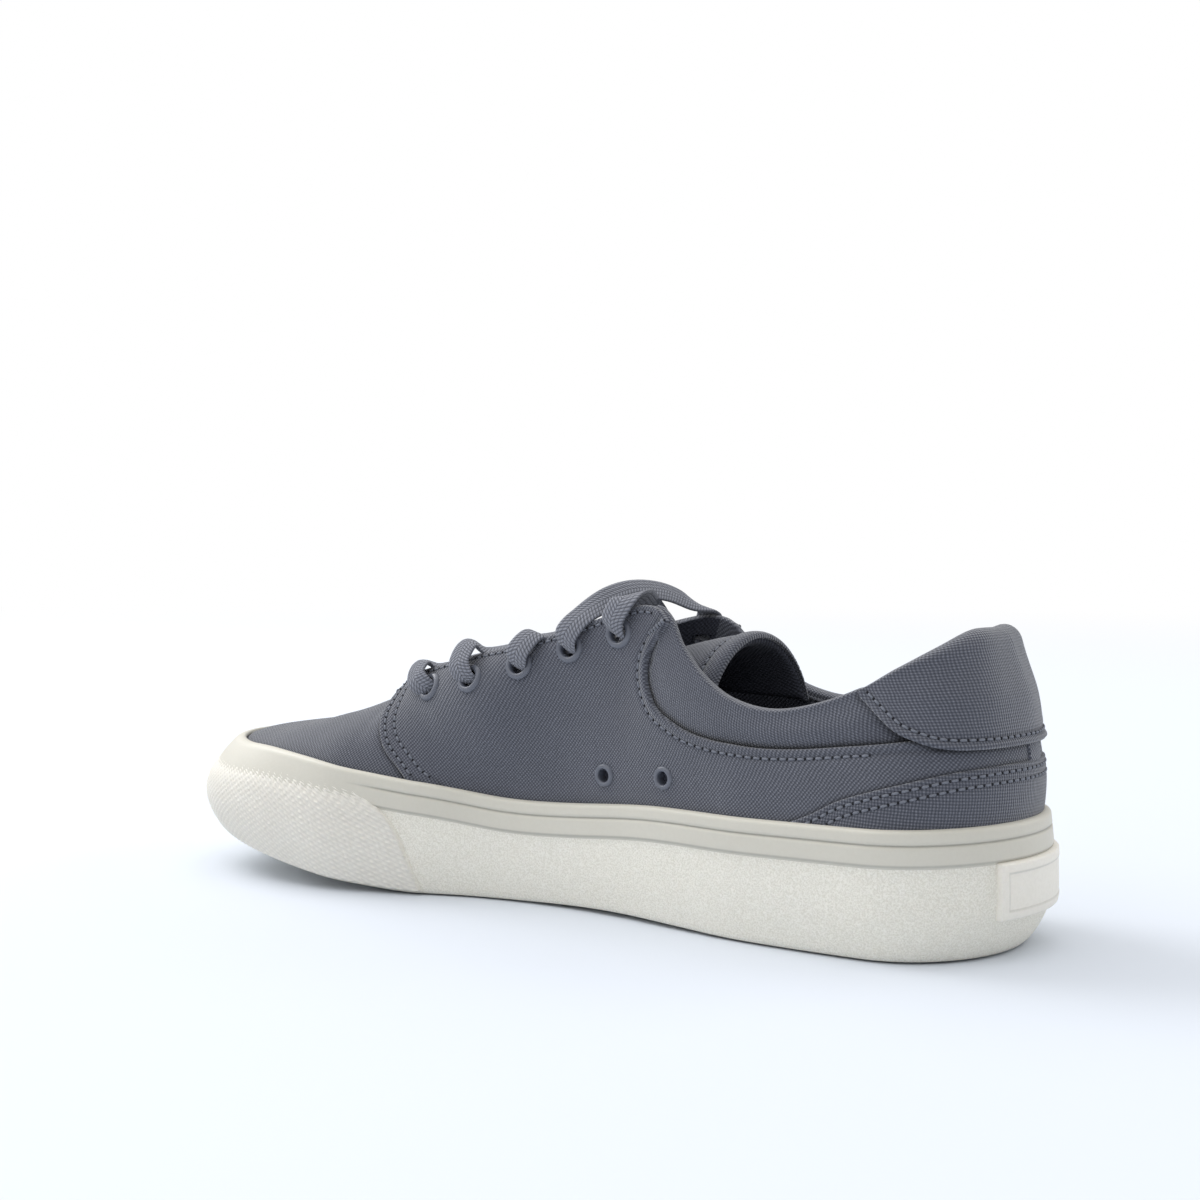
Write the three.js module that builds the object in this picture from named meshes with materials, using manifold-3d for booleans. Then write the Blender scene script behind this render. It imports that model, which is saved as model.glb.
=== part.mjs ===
// A skateboarding shoe for the right foot: a low canvas upper on a thick rubber sole, laced and empty.
// Millimetres. +X points to the toe, +Y to the inner side of the foot, +Z up. The shoe stands on z = 0.
import * as THREE from 'three';
import { mergeVertices } from 'three/addons/utils/BufferGeometryUtils.js';
import Module from 'manifold-3d';

const wasm = await Module();
wasm.setup();

// Driving sizes of the whole shoe.
const length = 296;
const ballWidth = 110;
const heelHeight = 88.5;
const instepHeight = 93.5;
const wallHeight = 36.5;
const toeSpring = 13;
const archRelief = 0.8;
const archBack = 0.32;
const archFront = 0.5;
const archRun = 0.08;

// Walls, layers and the gap that is kept between pieces.
const gap = 0.3;
const overlayGap = 0.5;
const foxingWall = 3;
const canvasWall = 2.4;
const collarPad = 3.2;
const quarterStep = 0.9;
const rimRound = 0.8;
const insoleWall = 4;
const insoleClear = 1.4;
const tongueWall = 3.6;

// The rubber band round the side: its raised upper tape, and the fine line below the top edge.
const tapeWidth = 9.5;
const tapeStep = 0.6;
const lineBelowTop = 4;
const lineDepth = 0.4;
const edgeRun = 0.4;

// Rubber strip round the toe, and label at the back of the heel.
const bumperWall = 1.3;
const bumperBelowTop = 6.5;
const bumperFoot = 0.05;
const bumperEndTop = 0.682;
const bumperEndFoot = 0.638;
const labelWidth = 46;
const labelHeight = 16;
const labelWall = 1.5;
const labelBelowTop = 9.7;

// Tread: zigzag grooves across the sole.
const grooveDepth = 1.8;
const grooveWidth = 3;
const groovePitch = 22;
const grooveTeeth = 4;
const grooveTooth = 6;
const grooveReach = 0.7;
const groovedShare = 0.88;

// Eyelets in the throat's edge, and the two vents low on the inner side.
const eyeletRadius = 4.6;
const eyeletBore = 2.3;
const eyeletBarrel = 3;
const eyeletFlange = 1;
const eyeletRound = 0.8;
const eyeletFromEdge = 8.5;
const firstEyelet = 46.5;
const eyeletPitch = 17.8;
const eyeletCount = 5;
const ventRadius = 3.5;
const ventBore = 2.2;
const ventBarrel = 2.7;
const firstVent = -21;
const ventPitch = 23;
const ventHeight = 8;
const drillLength = 12;

// Lace: a flat braid.
const laceWidth = 8.5;
const laceWall = 1.3;
const laceLift = 0.45;
const laceClear = 2.2;
const edgeLift = 2.5;
const looseArc = 7;
const looseLift = 0.5;
const crossingArc = 1.5;
const laceSink = 0.4;
const laceShort = 5;
const laceUnder = 0.2;

// Where the quarter ends over the vamp, and how far the counter and the heel tab reach, as shares of length.
const vampSeam = 0.63;
const throatFront = 0.73;
const counterReach = 0.205;
const counterWall = 1.2;
const tabReach = 0.14;
const tabWall = 1.4;
const tabFlare = 1.2;

// Shares between which the heel's height turns into the instep's, and the collar's seam comes to its end.
const turnFrom = 0.12;
const turnTo = 0.42;
const seamFrom = 0.43;
const seamTo = 0.46;

// Steps round each side of the shoe.
const sideSteps = 32;
const ringSides = 8;

// Sole seen from above: centre line and half width as shares of the ball width.
const outlineRows = [
  { at: 0, centre: 0, half: 0.368 },
  { at: 0.13, centre: 0.005, half: 0.368 },
  { at: 0.26, centre: -0.005, half: 0.358 },
  { at: 0.34, centre: -0.024, half: 0.34 },
  { at: 0.42, centre: -0.052, half: 0.325 },
  { at: 0.5, centre: -0.073, half: 0.333 },
  { at: 0.58, centre: -0.085, half: 0.368 },
  { at: 0.66, centre: -0.078, half: 0.432 },
  { at: 0.74, centre: -0.066, half: 0.487 },
  { at: 0.8, centre: -0.058, half: 0.497 },
  { at: 0.88, centre: -0.033, half: 0.497 },
  { at: 0.95, centre: 0, half: 0.488 },
  { at: 1, centre: 0.02, half: 0.47 },
];
const heelRound = 0.13;
const toeRound = 0.28;
const heelPower = 2;
const toePower = 2.2;

// Side wall: underside lift as a share of the toe spring, then as shares of the wall height the rim's height
// above the underside, the inset at the foot, the lean at the rim and the level of the floor inside.
const wallRows = [
  { at: 0, lift: 0, rim: 1.03, tuck: 0.2, lean: 0.04, floor: 0.55 },
  { at: 0.1, lift: 0, rim: 1, tuck: 0.1, lean: 0.03, floor: 0.54 },
  { at: 0.22, lift: 0, rim: 0.98, tuck: 0.06, lean: 0.03, floor: 0.52 },
  { at: 0.35, lift: 0, rim: 0.95, tuck: 0.05, lean: 0.03, floor: 0.48 },
  { at: 0.47, lift: 0, rim: 0.875, tuck: 0.05, lean: 0.04, floor: 0.43 },
  { at: 0.55, lift: 0, rim: 0.88, tuck: 0.05, lean: 0.05, floor: 0.39 },
  { at: 0.65, lift: 0, rim: 0.985, tuck: 0.06, lean: 0.07, floor: 0.36 },
  { at: 0.71, lift: 0.13, rim: 1.01, tuck: 0.08, lean: 0.1, floor: 0.35 },
  { at: 0.78, lift: 0.33, rim: 1.03, tuck: 0.1, lean: 0.14, floor: 0.35 },
  { at: 0.85, lift: 0.56, rim: 1, tuck: 0.13, lean: 0.2, floor: 0.35 },
  { at: 0.92, lift: 0.79, rim: 0.93, tuck: 0.17, lean: 0.26, floor: 0.35 },
  { at: 1, lift: 1, rim: 0.82, tuck: 0.2, lean: 0.3, floor: 0.35 },
];
const bulgeAt = 0.45;
const lowLevels = [0.12, 0.3];
const bandFoot = 0.03;

// Top line of the upper, one row for each rib: along as a share of the length, centre and half as shares of
// the ball width, height as a share of the heel height that turns into the instep height, drop and forward
// for how far the outer side differs.
const ribRows = [
  { at: 0, along: 0.049, centre: 0, half: 0, height: 1, drop: 0, forward: 0 },
  { at: 0.03, along: 0.055, centre: 0, half: 0.123, height: 1, drop: 0, forward: 0 },
  { at: 0.07, along: 0.078, centre: 0, half: 0.205, height: 0.945, drop: 0.005, forward: 0 },
  { at: 0.12, along: 0.122, centre: 0.002, half: 0.251, height: 0.858, drop: 0.012, forward: 0 },
  { at: 0.18, along: 0.179, centre: 0.004, half: 0.269, height: 0.768, drop: 0.016, forward: 0.002 },
  { at: 0.24, along: 0.233, centre: 0.003, half: 0.276, height: 0.72, drop: 0.016, forward: 0.005 },
  { at: 0.3, along: 0.28, centre: -0.002, half: 0.278, height: 0.735, drop: 0.013, forward: 0.01 },
  { at: 0.35, along: 0.314, centre: -0.008, half: 0.273, height: 0.795, drop: 0.016, forward: 0.013 },
  { at: 0.39, along: 0.341, centre: -0.012, half: 0.26, height: 0.882, drop: 0.034, forward: 0.016 },
  { at: 0.42, along: 0.357, centre: -0.014, half: 0.246, height: 0.96, drop: 0.055, forward: 0.017 },
  { at: 0.445, along: 0.375, centre: -0.015, half: 0.232, height: 0.998, drop: 0.064, forward: 0.016 },
  { at: 0.475, along: 0.405, centre: -0.016, half: 0.22, height: 0.99, drop: 0.055, forward: 0.012 },
  { at: 0.52, along: 0.47, centre: -0.016, half: 0.208, height: 0.92, drop: 0.035, forward: 0.006 },
  { at: 0.555, along: 0.535, centre: -0.015, half: 0.2, height: 0.852, drop: 0.02, forward: 0.002 },
  { at: 0.585, along: 0.602, centre: -0.013, half: 0.19, height: 0.8, drop: 0.01, forward: 0 },
  { at: 0.61, along: 0.655, centre: -0.012, half: 0.172, height: 0.757, drop: 0.004, forward: 0 },
  { at: 0.63, along: 0.689, centre: -0.011, half: 0.142, height: 0.73, drop: 0, forward: 0 },
  { at: 0.66, along: 0.71, centre: -0.01, half: 0.114, height: 0.706, drop: 0, forward: 0 },
  { at: 0.7, along: 0.726, centre: -0.008, half: 0.075, height: 0.682, drop: 0, forward: 0 },
  { at: 0.718, along: 0.731, centre: -0.007, half: 0.04, height: 0.672, drop: 0, forward: 0 },
  { at: 0.73, along: 0.733, centre: -0.007, half: 0, height: 0.668, drop: 0, forward: 0 },
  { at: 0.8, along: 0.766, centre: -0.004, half: 0, height: 0.617, drop: 0, forward: 0 },
  { at: 0.87, along: 0.799, centre: 0, half: 0, height: 0.575, drop: 0, forward: 0 },
  { at: 0.94, along: 0.831, centre: 0.005, half: 0, height: 0.547, drop: 0, forward: 0 },
  { at: 1, along: 0.852, centre: 0.01, half: 0, height: 0.53, drop: 0, forward: 0 },
];

// Each rib's bend: degrees that it leans in from upright at its foot, and falls below level at its head.
const bendRows = [
  { at: 0, lean: -9, fall: 74 },
  { at: 0.03, lean: -8, fall: 76 },
  { at: 0.07, lean: -5, fall: 80 },
  { at: 0.12, lean: 0, fall: 84 },
  { at: 0.18, lean: 2, fall: 86 },
  { at: 0.24, lean: 3, fall: 86 },
  { at: 0.3, lean: 2, fall: 84 },
  { at: 0.35, lean: 0, fall: 81 },
  { at: 0.39, lean: -2, fall: 77 },
  { at: 0.42, lean: -3, fall: 72 },
  { at: 0.445, lean: -3, fall: 66 },
  { at: 0.475, lean: -2, fall: 61 },
  { at: 0.52, lean: 0, fall: 51 },
  { at: 0.555, lean: 4, fall: 43 },
  { at: 0.585, lean: 9, fall: 34 },
  { at: 0.61, lean: 14, fall: 28 },
  { at: 0.63, lean: 18, fall: 23 },
  { at: 0.66, lean: 24, fall: 18 },
  { at: 0.7, lean: 29, fall: 14 },
  { at: 0.718, lean: 32, fall: 13 },
  { at: 0.73, lean: 34, fall: 12 },
  { at: 0.8, lean: 43, fall: 12 },
  { at: 0.87, lean: 54, fall: 13 },
  { at: 0.94, lean: 64, fall: 13 },
  { at: 1, lean: 70, fall: 11 },
];
const footReach = 0.36;
const headReach = 0.4;

// A rib leaves its head straight towards its foot at the heel and along the throat, and square to the
// sole's outline in between: shares where that changes.
const heelStraight = 0.05;
const throatFrom = 0.34;
const throatTo = 0.44;

// Seam round the collar panel, lower edge of the heel tab and top of the counter, as shares up each rib,
// and how much of the collar's padding lies behind each place.
const seamRows = [
  { at: 0, panel: 0.45, tab: 0.42, counter: 0.31, pad: 1 },
  { at: 0.05, panel: 0.46, tab: 0.43, counter: 0.31, pad: 1 },
  { at: 0.09, panel: 0.48, tab: 0.52, counter: 0.29, pad: 1 },
  { at: 0.12, panel: 0.51, tab: 0.68, counter: 0.26, pad: 1 },
  { at: 0.14, panel: 0.53, tab: 0.93, counter: 0.23, pad: 1 },
  { at: 0.17, panel: 0.57, tab: 1, counter: 0.16, pad: 1 },
  { at: 0.205, panel: 0.59, tab: 1, counter: 0.07, pad: 1 },
  { at: 0.3, panel: 0.62, tab: 1, counter: 0, pad: 0.8 },
  { at: 0.36, panel: 0.61, tab: 1, counter: 0, pad: 0.45 },
  { at: 0.4, panel: 0.64, tab: 1, counter: 0, pad: 0.2 },
  { at: 0.425, panel: 0.74, tab: 1, counter: 0, pad: 0.1 },
  { at: 0.445, panel: 0.86, tab: 1, counter: 0, pad: 0 },
  { at: 0.5, panel: 0.86, tab: 1, counter: 0, pad: 0 },
  { at: 1, panel: 0.86, tab: 1, counter: 0, pad: 0 },
];

// Tongue from its front end under the vamp to its tip: along as a share of the length, height as a share of
// the instep height, half width and arch as shares of the ball width.
const tongueRows = [
  { at: 0, along: 0.745, height: 0.606, half: 0.13, arch: 0.03 },
  { at: 0.2, along: 0.63, height: 0.66, half: 0.18, arch: 0.05 },
  { at: 0.45, along: 0.53, height: 0.735, half: 0.188, arch: 0.08 },
  { at: 0.7, along: 0.43, height: 0.815, half: 0.194, arch: 0.13 },
  { at: 0.88, along: 0.355, height: 0.875, half: 0.208, arch: 0.19 },
  { at: 1, along: 0.3, height: 0.91, half: 0.216, arch: 0.23 },
];
const tongueSweep = 1.45;
const tongueCentre = -0.014;
const tongueTurn = 5.5;

// Reads one column of a table at any place, on a smooth curve through its rows.
function smooth(rows, column, at) {
  const last = rows.length - 1;
  let i = 0;
  while (i < last - 1 && at > rows[i + 1].at) i++;
  const slope = (j) => {
    const before = rows[Math.max(j - 1, 0)];
    const after = rows[Math.min(j + 1, last)];
    return (after[column] - before[column]) / (after.at - before.at);
  };
  const span = rows[i + 1].at - rows[i].at;
  const t = Math.min(Math.max((at - rows[i].at) / span, 0), 1);
  const [a, b] = [rows[i][column], rows[i + 1][column]];
  const bend = (1 - t) * slope(i) - t * slope(i + 1);
  return a + (b - a) * t * t * (3 - 2 * t) + span * t * (1 - t) * bend;
}

// Rises smoothly from 0 to 1 between two values.
function rise(from, to, value) {
  const t = Math.min(Math.max((value - from) / (to - from), 0), 1);
  return t * t * (3 - 2 * t);
}

// Half a turn of the angle runs along the inner side from heel to toe, and the other half comes back.
const shareOf = (angle) => (1 - Math.cos(angle)) / 2;
const sideOf = (angle) => (Math.sin(angle) >= 0 ? 1 : -1);
const angleOf = (share, side) => side * Math.acos(1 - 2 * share);

// The sole's widest line: a smooth strip whose ends are rounded off.
function outlinePoint(angle) {
  const share = shareOf(angle);
  const back = Math.max(1 - share / heelRound, 0);
  const front = Math.max(1 - (1 - share) / toeRound, 0);
  const round = (1 - back ** heelPower) ** (1 / heelPower) * (1 - front ** toePower) ** (1 / toePower);
  const half = smooth(outlineRows, 'half', share) * round * sideOf(angle);
  const y = ballWidth * (smooth(outlineRows, 'centre', share) + half);
  return new THREE.Vector3(length * (share - 0.5), y, 0);
}

function outlineNormal(angle) {
  const step = 0.01;
  const run = outlinePoint(angle + step).sub(outlinePoint(angle - step));
  return new THREE.Vector3(-run.y, run.x, 0).normalize();
}

// Height of the underside: flat under heel and forefoot, a little relief under the arch, then the toe spring.
function liftAt(share) {
  const relief = rise(archBack - archRun, archBack + archRun, share)
    * (1 - rise(archFront - archRun, archFront + archRun, share));
  return toeSpring * Math.max(smooth(wallRows, 'lift', share), 0) + archRelief * relief;
}
const rimAt = (share) => liftAt(share) + wallHeight * smooth(wallRows, 'rim', share);
const floorAt = (share) => liftAt(share) + wallHeight * smooth(wallRows, 'floor', share);

// A point of the side wall: level 0 is its foot and 1 its rim, inset is measured inwards.
function wallPoint(angle, level, inset) {
  const share = shareOf(angle);
  const below = Math.max(1 - level / bulgeAt, 0);
  const above = Math.max((level - bulgeAt) / (1 - bulgeAt), 0);
  const tuck = wallHeight * smooth(wallRows, 'tuck', share) * below ** 2;
  const lean = wallHeight * smooth(wallRows, 'lean', share) * above ** 1.8;
  const point = outlinePoint(angle).addScaledVector(outlineNormal(angle), -tuck - lean - inset);
  point.z = liftAt(share) + level * (rimAt(share) - liftAt(share));
  return point;
}

// Level on the side wall of a height above the floor.
const levelAt = (share, height) => (height - liftAt(share)) / (rimAt(share) - liftAt(share));
const floorLevel = (share) => levelAt(share, floorAt(share));

// Head of a rib on the top line, where the heel's height turns into the instep's.
function headPoint(angle) {
  const share = shareOf(angle);
  const side = sideOf(angle);
  const outer = side < 0 ? 1 : 0;
  const column = (name) => smooth(ribRows, name, share);
  const half = share >= throatFront ? 0 : Math.max(column('half'), 0);
  const turn = rise(turnFrom, turnTo, share);
  const tall = heelHeight * (1 - turn) + instepHeight * turn;
  return new THREE.Vector3(
    length * (column('along') + outer * column('forward') - 0.5),
    ballWidth * (column('centre') + side * half),
    tall * (column('height') - outer * column('drop')),
  );
}

// The upper's outer face: each rib is a curve from the sole's rim up to the top line.
function upperPoint(angle, up) {
  const share = shareOf(angle);
  const foot = wallPoint(angle, 1, foxingWall + gap);
  const head = headPoint(angle);
  const span = foot.distanceTo(head);
  const lean = THREE.MathUtils.degToRad(smooth(bendRows, 'lean', share));
  const fall = THREE.MathUtils.degToRad(smooth(bendRows, 'fall', share));
  const outward = new THREE.Vector3(foot.x - head.x, foot.y - head.y, 0).normalize();
  const away = outlineNormal(angle).lerp(outward, 0.5).normalize();
  const low = foot.clone()
    .addScaledVector(away, -Math.sin(lean) * footReach * span)
    .add(new THREE.Vector3(0, 0, Math.cos(lean) * footReach * span));
  const across = (1 - rise(0, heelStraight, share)) / 2 + rise(throatFrom, throatTo, share);
  const spread = outlineNormal(angle).lerp(outward, Math.min(across, 1)).normalize();
  const high = head.clone()
    .addScaledVector(spread, Math.cos(fall) * headReach * span)
    .add(new THREE.Vector3(0, 0, -Math.sin(fall) * headReach * span));
  const curve = new THREE.CubicBezierCurve3(foot, low, high, head);
  return curve.getPoint(up);
}

function faceNormal(angle, up) {
  const step = 0.004;
  const [low, high] = [Math.max(up - step, 0), Math.min(up + step, 1)];
  const rising = upperPoint(angle, high).sub(upperPoint(angle, low));
  const along = upperPoint(angle + step, up).sub(upperPoint(angle - step, up));
  return rising.cross(along).normalize();
}

// Outward direction of the upper, the same from both sides where they meet on the crest of the vamp.
function upperNormal(angle, up) {
  const normal = faceNormal(angle, up);
  const onCrest = up === 1 && shareOf(angle) >= throatFront;
  return onCrest ? normal.add(faceNormal(-angle, up)).normalize() : normal;
}

const offUpper = (angle, up, out) => upperPoint(angle, up).addScaledVector(upperNormal(angle, up), out);

// Wall of the upper at a place, thicker where the collar is padded.
function wallAt(share, up) {
  const panel = smooth(seamRows, 'panel', share);
  const pad = collarPad * Math.max(smooth(seamRows, 'pad', share), 0);
  return canvasWall + pad * rise(panel - 0.25, panel + 0.15, up);
}

// Joins a list of loops in order with four-cornered cells, each cut along its shorter diagonal.
function triangles(loops, { closedLoops, closedRows, skip = () => false }) {
  const out = [];
  const loopCount = loops.length - (closedLoops ? 0 : 1);
  for (let i = 0; i < loopCount; i++) {
    const [here, next] = [loops[i], loops[(i + 1) % loops.length]];
    const rowCount = here.length - (closedRows ? 0 : 1);
    for (let j = 0; j < rowCount; j++) {
      if (skip(i, j)) continue;
      const k = (j + 1) % here.length;
      const rising = here[k].distanceTo(next[j]) > here[j].distanceTo(next[k]) + 1e-6;
      if (rising) out.push(here[j], here[k], next[k], here[j], next[k], next[j]);
      else out.push(here[j], here[k], next[j], next[j], here[k], next[k]);
    }
  }
  return out;
}

// Fans a flat or nearly flat end shut.
function fan(loop, flip) {
  const out = [];
  for (let i = 1; i < loop.length - 1; i++) {
    out.push(loop[0], loop[flip ? i + 1 : i], loop[flip ? i : i + 1]);
  }
  return out;
}

function geometryOf(points) {
  const kept = [];
  for (let i = 0; i < points.length; i += 3) {
    const [a, b, c] = points.slice(i, i + 3);
    const smallest = Math.min(a.distanceTo(b), b.distanceTo(c), c.distanceTo(a));
    if (smallest > 1e-4) kept.push(a, b, c);
  }
  return mergeVertices(new THREE.BufferGeometry().setFromPoints(kept), 1e-4);
}

function solidOf(geometry) {
  const bare = new THREE.BufferGeometry().setAttribute('position', geometry.getAttribute('position'));
  bare.setIndex(geometry.index);
  const merged = mergeVertices(bare, 1e-4);
  return new wasm.Manifold(new wasm.Mesh({
    numProp: 3,
    vertProperties: merged.attributes.position.array,
    triVerts: new Uint32Array(merged.index.array),
  }));
}

function geometryFrom(solid) {
  const mesh = solid.getMesh();
  const geometry = new THREE.BufferGeometry();
  geometry.setAttribute('position', new THREE.BufferAttribute(mesh.vertProperties, 3));
  geometry.setIndex(new THREE.BufferAttribute(mesh.triVerts, 1));
  return geometry;
}

// Stations along one side, with one on the vamp's seam and one on the throat's front end.
function sideShares() {
  const shares = [];
  for (let i = 0; i <= sideSteps; i++) shares.push(shareOf((Math.PI * i) / sideSteps));
  for (const mark of [counterReach, tabReach, vampSeam, throatFront]) {
    const off = shares.map((share) => Math.abs(share - mark));
    shares[off.indexOf(Math.min(...off))] = mark;
  }
  return shares;
}

const inner = sideShares().map((share) => angleOf(share, 1));
const outer = sideShares().reverse().slice(1, -1).map((share) => angleOf(share, -1));
const stations = [...inner, ...outer];

// Stations whose share is no more than reach, from the outer side round the heel to the inner side.
function roundHeel(reach) {
  const near = (angle) => shareOf(angle) <= reach + 1e-6;
  return [...outer.filter(near), ...inner.filter(near)];
}

// Outsole and rubber base in one, under the floor of the shoe, with its tread cut in.
function makeSole() {
  const inset = foxingWall + gap;
  const loops = stations.map((angle) => {
    const levels = [0, ...lowLevels, floorLevel(shareOf(angle))];
    return levels.map((level) => wallPoint(angle, level, inset));
  });
  const points = triangles(loops, { closedLoops: true, closedRows: false });
  points.push(...capAcross(loops.map((loop) => loop[0]), true));
  points.push(...capAcross(loops.map((loop) => loop.at(-1)), false));
  let sole = solidOf(geometryOf(points));
  for (const groove of makeGrooves()) sole = sole.subtract(groove);
  return geometryFrom(sole);
}

// Closes a ring of stations with strips from the inner to the outer side.
function capAcross(ring, facesDown) {
  const out = [];
  const count = inner.length;
  const far = (i) => ring[(ring.length - i) % ring.length];
  for (let i = 0; i < count - 1; i++) {
    const [a, b, c, d] = [ring[i], ring[i + 1], far(i + 1), far(i)];
    out.push(...(facesDown ? [a, b, c, a, c, d] : [a, c, b, a, d, c]));
  }
  return out;
}

// Zigzag bands across the sole, each as deep as the groove at its place on the toe spring.
function makeGrooves() {
  const reach = ballWidth * grooveReach;
  const count = Math.floor((length * groovedShare) / 2 / groovePitch);
  const grooves = [];
  for (let i = -count; i <= count; i++) {
    const x = i * groovePitch + groovePitch / 2;
    const shape = new THREE.Shape();
    const edge = [];
    for (let k = -grooveTeeth; k <= grooveTeeth; k++) {
      edge.push([x + (k % 2 === 0 ? 0 : grooveTooth), (reach * k) / grooveTeeth]);
    }
    edge.forEach(([ex, ey], k) => (k === 0 ? shape.moveTo(ex, ey) : shape.lineTo(ex, ey)));
    edge.reverse().forEach(([ex, ey]) => shape.lineTo(ex + grooveWidth, ey));
    shape.closePath();
    const lift = liftAt((x + grooveWidth) / length + 0.5);
    const band = new THREE.ExtrudeGeometry(shape, { depth: grooveDepth + lift + 1, bevelEnabled: false });
    band.translate(0, 0, -1);
    grooves.push(solidOf(band));
  }
  return grooves;
}

// Rubber band round the side. Its outer face has the raised tape and the fine line, its inner face is plain.
function makeFoxing() {
  const loops = stations.map((angle) => {
    const share = shareOf(angle);
    const height = rimAt(share) - liftAt(share);
    const tape = 1 - tapeWidth / height;
    const line = 1 - lineBelowTop / height;
    const small = edgeRun / height;
    const outside = [
      [bandFoot, 0], [0.22, 0], [bulgeAt, 0], [tape - small, 0], [tape, -tapeStep],
      [line - small, -tapeStep], [line, lineDepth - tapeStep], [1 - small, lineDepth - tapeStep],
    ];
    const floor = floorLevel(share);
    const behind = [1, (1 + floor) / 2, floor, ...lowLevels.toReversed(), bandFoot];
    const inside = [[1, foxingWall * 0.35], ...behind.map((level) => [level, foxingWall])];
    return [...outside, ...inside].map(([level, inset]) => wallPoint(angle, level, inset));
  });
  return geometryOf(triangles(loops, { closedLoops: true, closedRows: true }));
}

// A patch with thickness: face(i, j, out) gives a point at a distance from the surface that carries it.
function patch(columns, rows, from, to, face) {
  const loops = [];
  for (let i = 0; i <= columns; i++) {
    const outside = [];
    const inside = [];
    for (let j = 0; j <= rows; j++) {
      outside.push(face(i / columns, j / rows, to));
      inside.unshift(face(i / columns, j / rows, from));
    }
    loops.push([...outside, ...inside]);
  }
  const points = triangles(loops, { closedLoops: false, closedRows: true });
  const ends = [[loops[0], false], [loops.at(-1), true]];
  for (const [loop, flip] of ends) {
    for (let j = 0; j < rows; j++) {
      const quad = [loop[j], loop[j + 1], loop[loop.length - 2 - j], loop[loop.length - 1 - j]];
      points.push(...fan(quad, !flip));
    }
  }
  return geometryOf(points);
}

// Textured strip round the toe, with ends that curve back as they go down.
function makeBumper() {
  const face = (along, up, out) => {
    const end = bumperEndTop + (bumperEndFoot - bumperEndTop) * (1 - up) ** 1.6;
    const half = Math.acos(1 - 2 * end);
    const angle = half + (2 * Math.PI - 2 * half) * along;
    const share = shareOf(angle);
    const top = 1 - bumperBelowTop / (rimAt(share) - liftAt(share));
    return wallPoint(angle, bumperFoot + (top - bumperFoot) * up, -out);
  };
  const from = tapeStep + overlayGap;
  return patch(32, 4, from, from + bumperWall, face);
}

// Label round the back of the heel, below the raised tape.
function makeLabel() {
  const face = (along, up, out) => {
    const angle = angleAcrossHeel((along - 0.5) * labelWidth);
    const share = shareOf(angle);
    const height = rimAt(share) - labelBelowTop - labelHeight * (1 - up);
    return wallPoint(angle, levelAt(share, height), -out);
  };
  return patch(14, 2, gap, gap + labelWall, face);
}

// Angle at a distance from the middle of the heel, measured round the sole's widest line.
function angleAcrossHeel(distance) {
  const step = 0.01;
  let angle = 0;
  let gone = 0;
  while (gone < Math.abs(distance)) {
    gone += outlinePoint(angle + step).distanceTo(outlinePoint(angle));
    angle += step;
  }
  return Math.sign(distance) * angle;
}

// Rows of the upper's outer face below and above the seam, whose step is in the outer face alone.
const lowParts = [0.04, 0.3, 0.65, 1];
const highParts = [0, 0.4, 0.75, 1];
const seamRow = 1 + lowParts.length;

// The upper: outer face up, round the rim, and the inner face down again, as one wall.
function makeUpper() {
  const columns = [];
  for (const angle of stations) {
    const share = shareOf(angle);
    const onSeam = Math.abs(share - vampSeam) < 1e-6;
    const quarters = onSeam ? (sideOf(angle) > 0 ? [true, false] : [false, true]) : [share < vampSeam];
    for (const quarter of quarters) columns.push({ angle, share, quarter });
  }
  const loops = columns.map(({ angle, share, quarter }) => {
    const panel = smooth(seamRows, 'panel', share);
    const ups = lowParts.map((part) => [part * panel, quarter ? quarterStep : 0]);
    const above = highParts.map((part) => [panel + (1 - panel) * part, collarRaise(share, part, quarter)]);
    const rows = [[0, 0], ...ups, ...above];
    const floor = levelAt(share, floorAt(share) + gap);
    const skirt = (inset) => [floor, (1 + floor) / 2].map((level) => wallPoint(angle, level, inset));
    const outside = rows.map(([up, out]) => offUpper(angle, up, out));
    const plain = rows.filter((row, i) => i !== seamRow);
    const inside = plain.map(([up]) => offUpper(angle, up, -wallAt(share, up)));
    const middle = outside.at(-1).clone().lerp(inside.at(-1), 0.5);
    const rising = upperPoint(angle, 1).sub(upperPoint(angle, 0.96)).normalize();
    const lip = share >= throatFront ? middle : middle.addScaledVector(rising, rimRound);
    const inset = foxingWall + gap;
    return [...skirt(inset), ...outside, lip, ...inside.reverse(), ...skirt(inset + canvasWall).reverse()];
  });
  const rimRow = 2 + lowParts.length + highParts.length;
  const onCrest = (i) => columns[i % columns.length].share >= throatFront - 1e-9;
  const skip = (i, j) => (j === rimRow || j === rimRow + 1) && onCrest(i) && onCrest(i + 1);
  const shell = solidOf(geometryOf(triangles(loops, { closedLoops: true, closedRows: true, skip })));
  return geometryFrom(drill(shell));
}

// The collar panel starts under the quarter's edge and puffs out; in front of the corner there is no seam.
function collarRaise(share, part, quarter) {
  const plain = quarter ? quarterStep : 0;
  const puff = quarterStep * 1.4 * Math.sin(Math.PI * Math.min(part, 0.5));
  const seamless = rise(seamFrom, seamTo, share);
  return plain * seamless + (1 - seamless) * puff;
}

// Place on the upper for an eyelet or vent: its station, its share up the rib and its axis.
function seat(side, x, upOf) {
  let [low, high] = [0.3, vampSeam];
  const place = (share) => upperPoint(angleOf(share, side), upOf(share));
  for (let i = 0; i < 40; i++) {
    const middle = (low + high) / 2;
    if (place(middle).x < x) low = middle;
    else high = middle;
  }
  const angle = angleOf(low, side);
  const up = upOf(low);
  const axis = upperNormal(angle, up);
  return { angle, up, axis, point: offUpper(angle, up, quarterStep) };
}

// Part of a rib over which a distance up or down it is taken as even.
const seatPart = 0.4;

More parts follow.
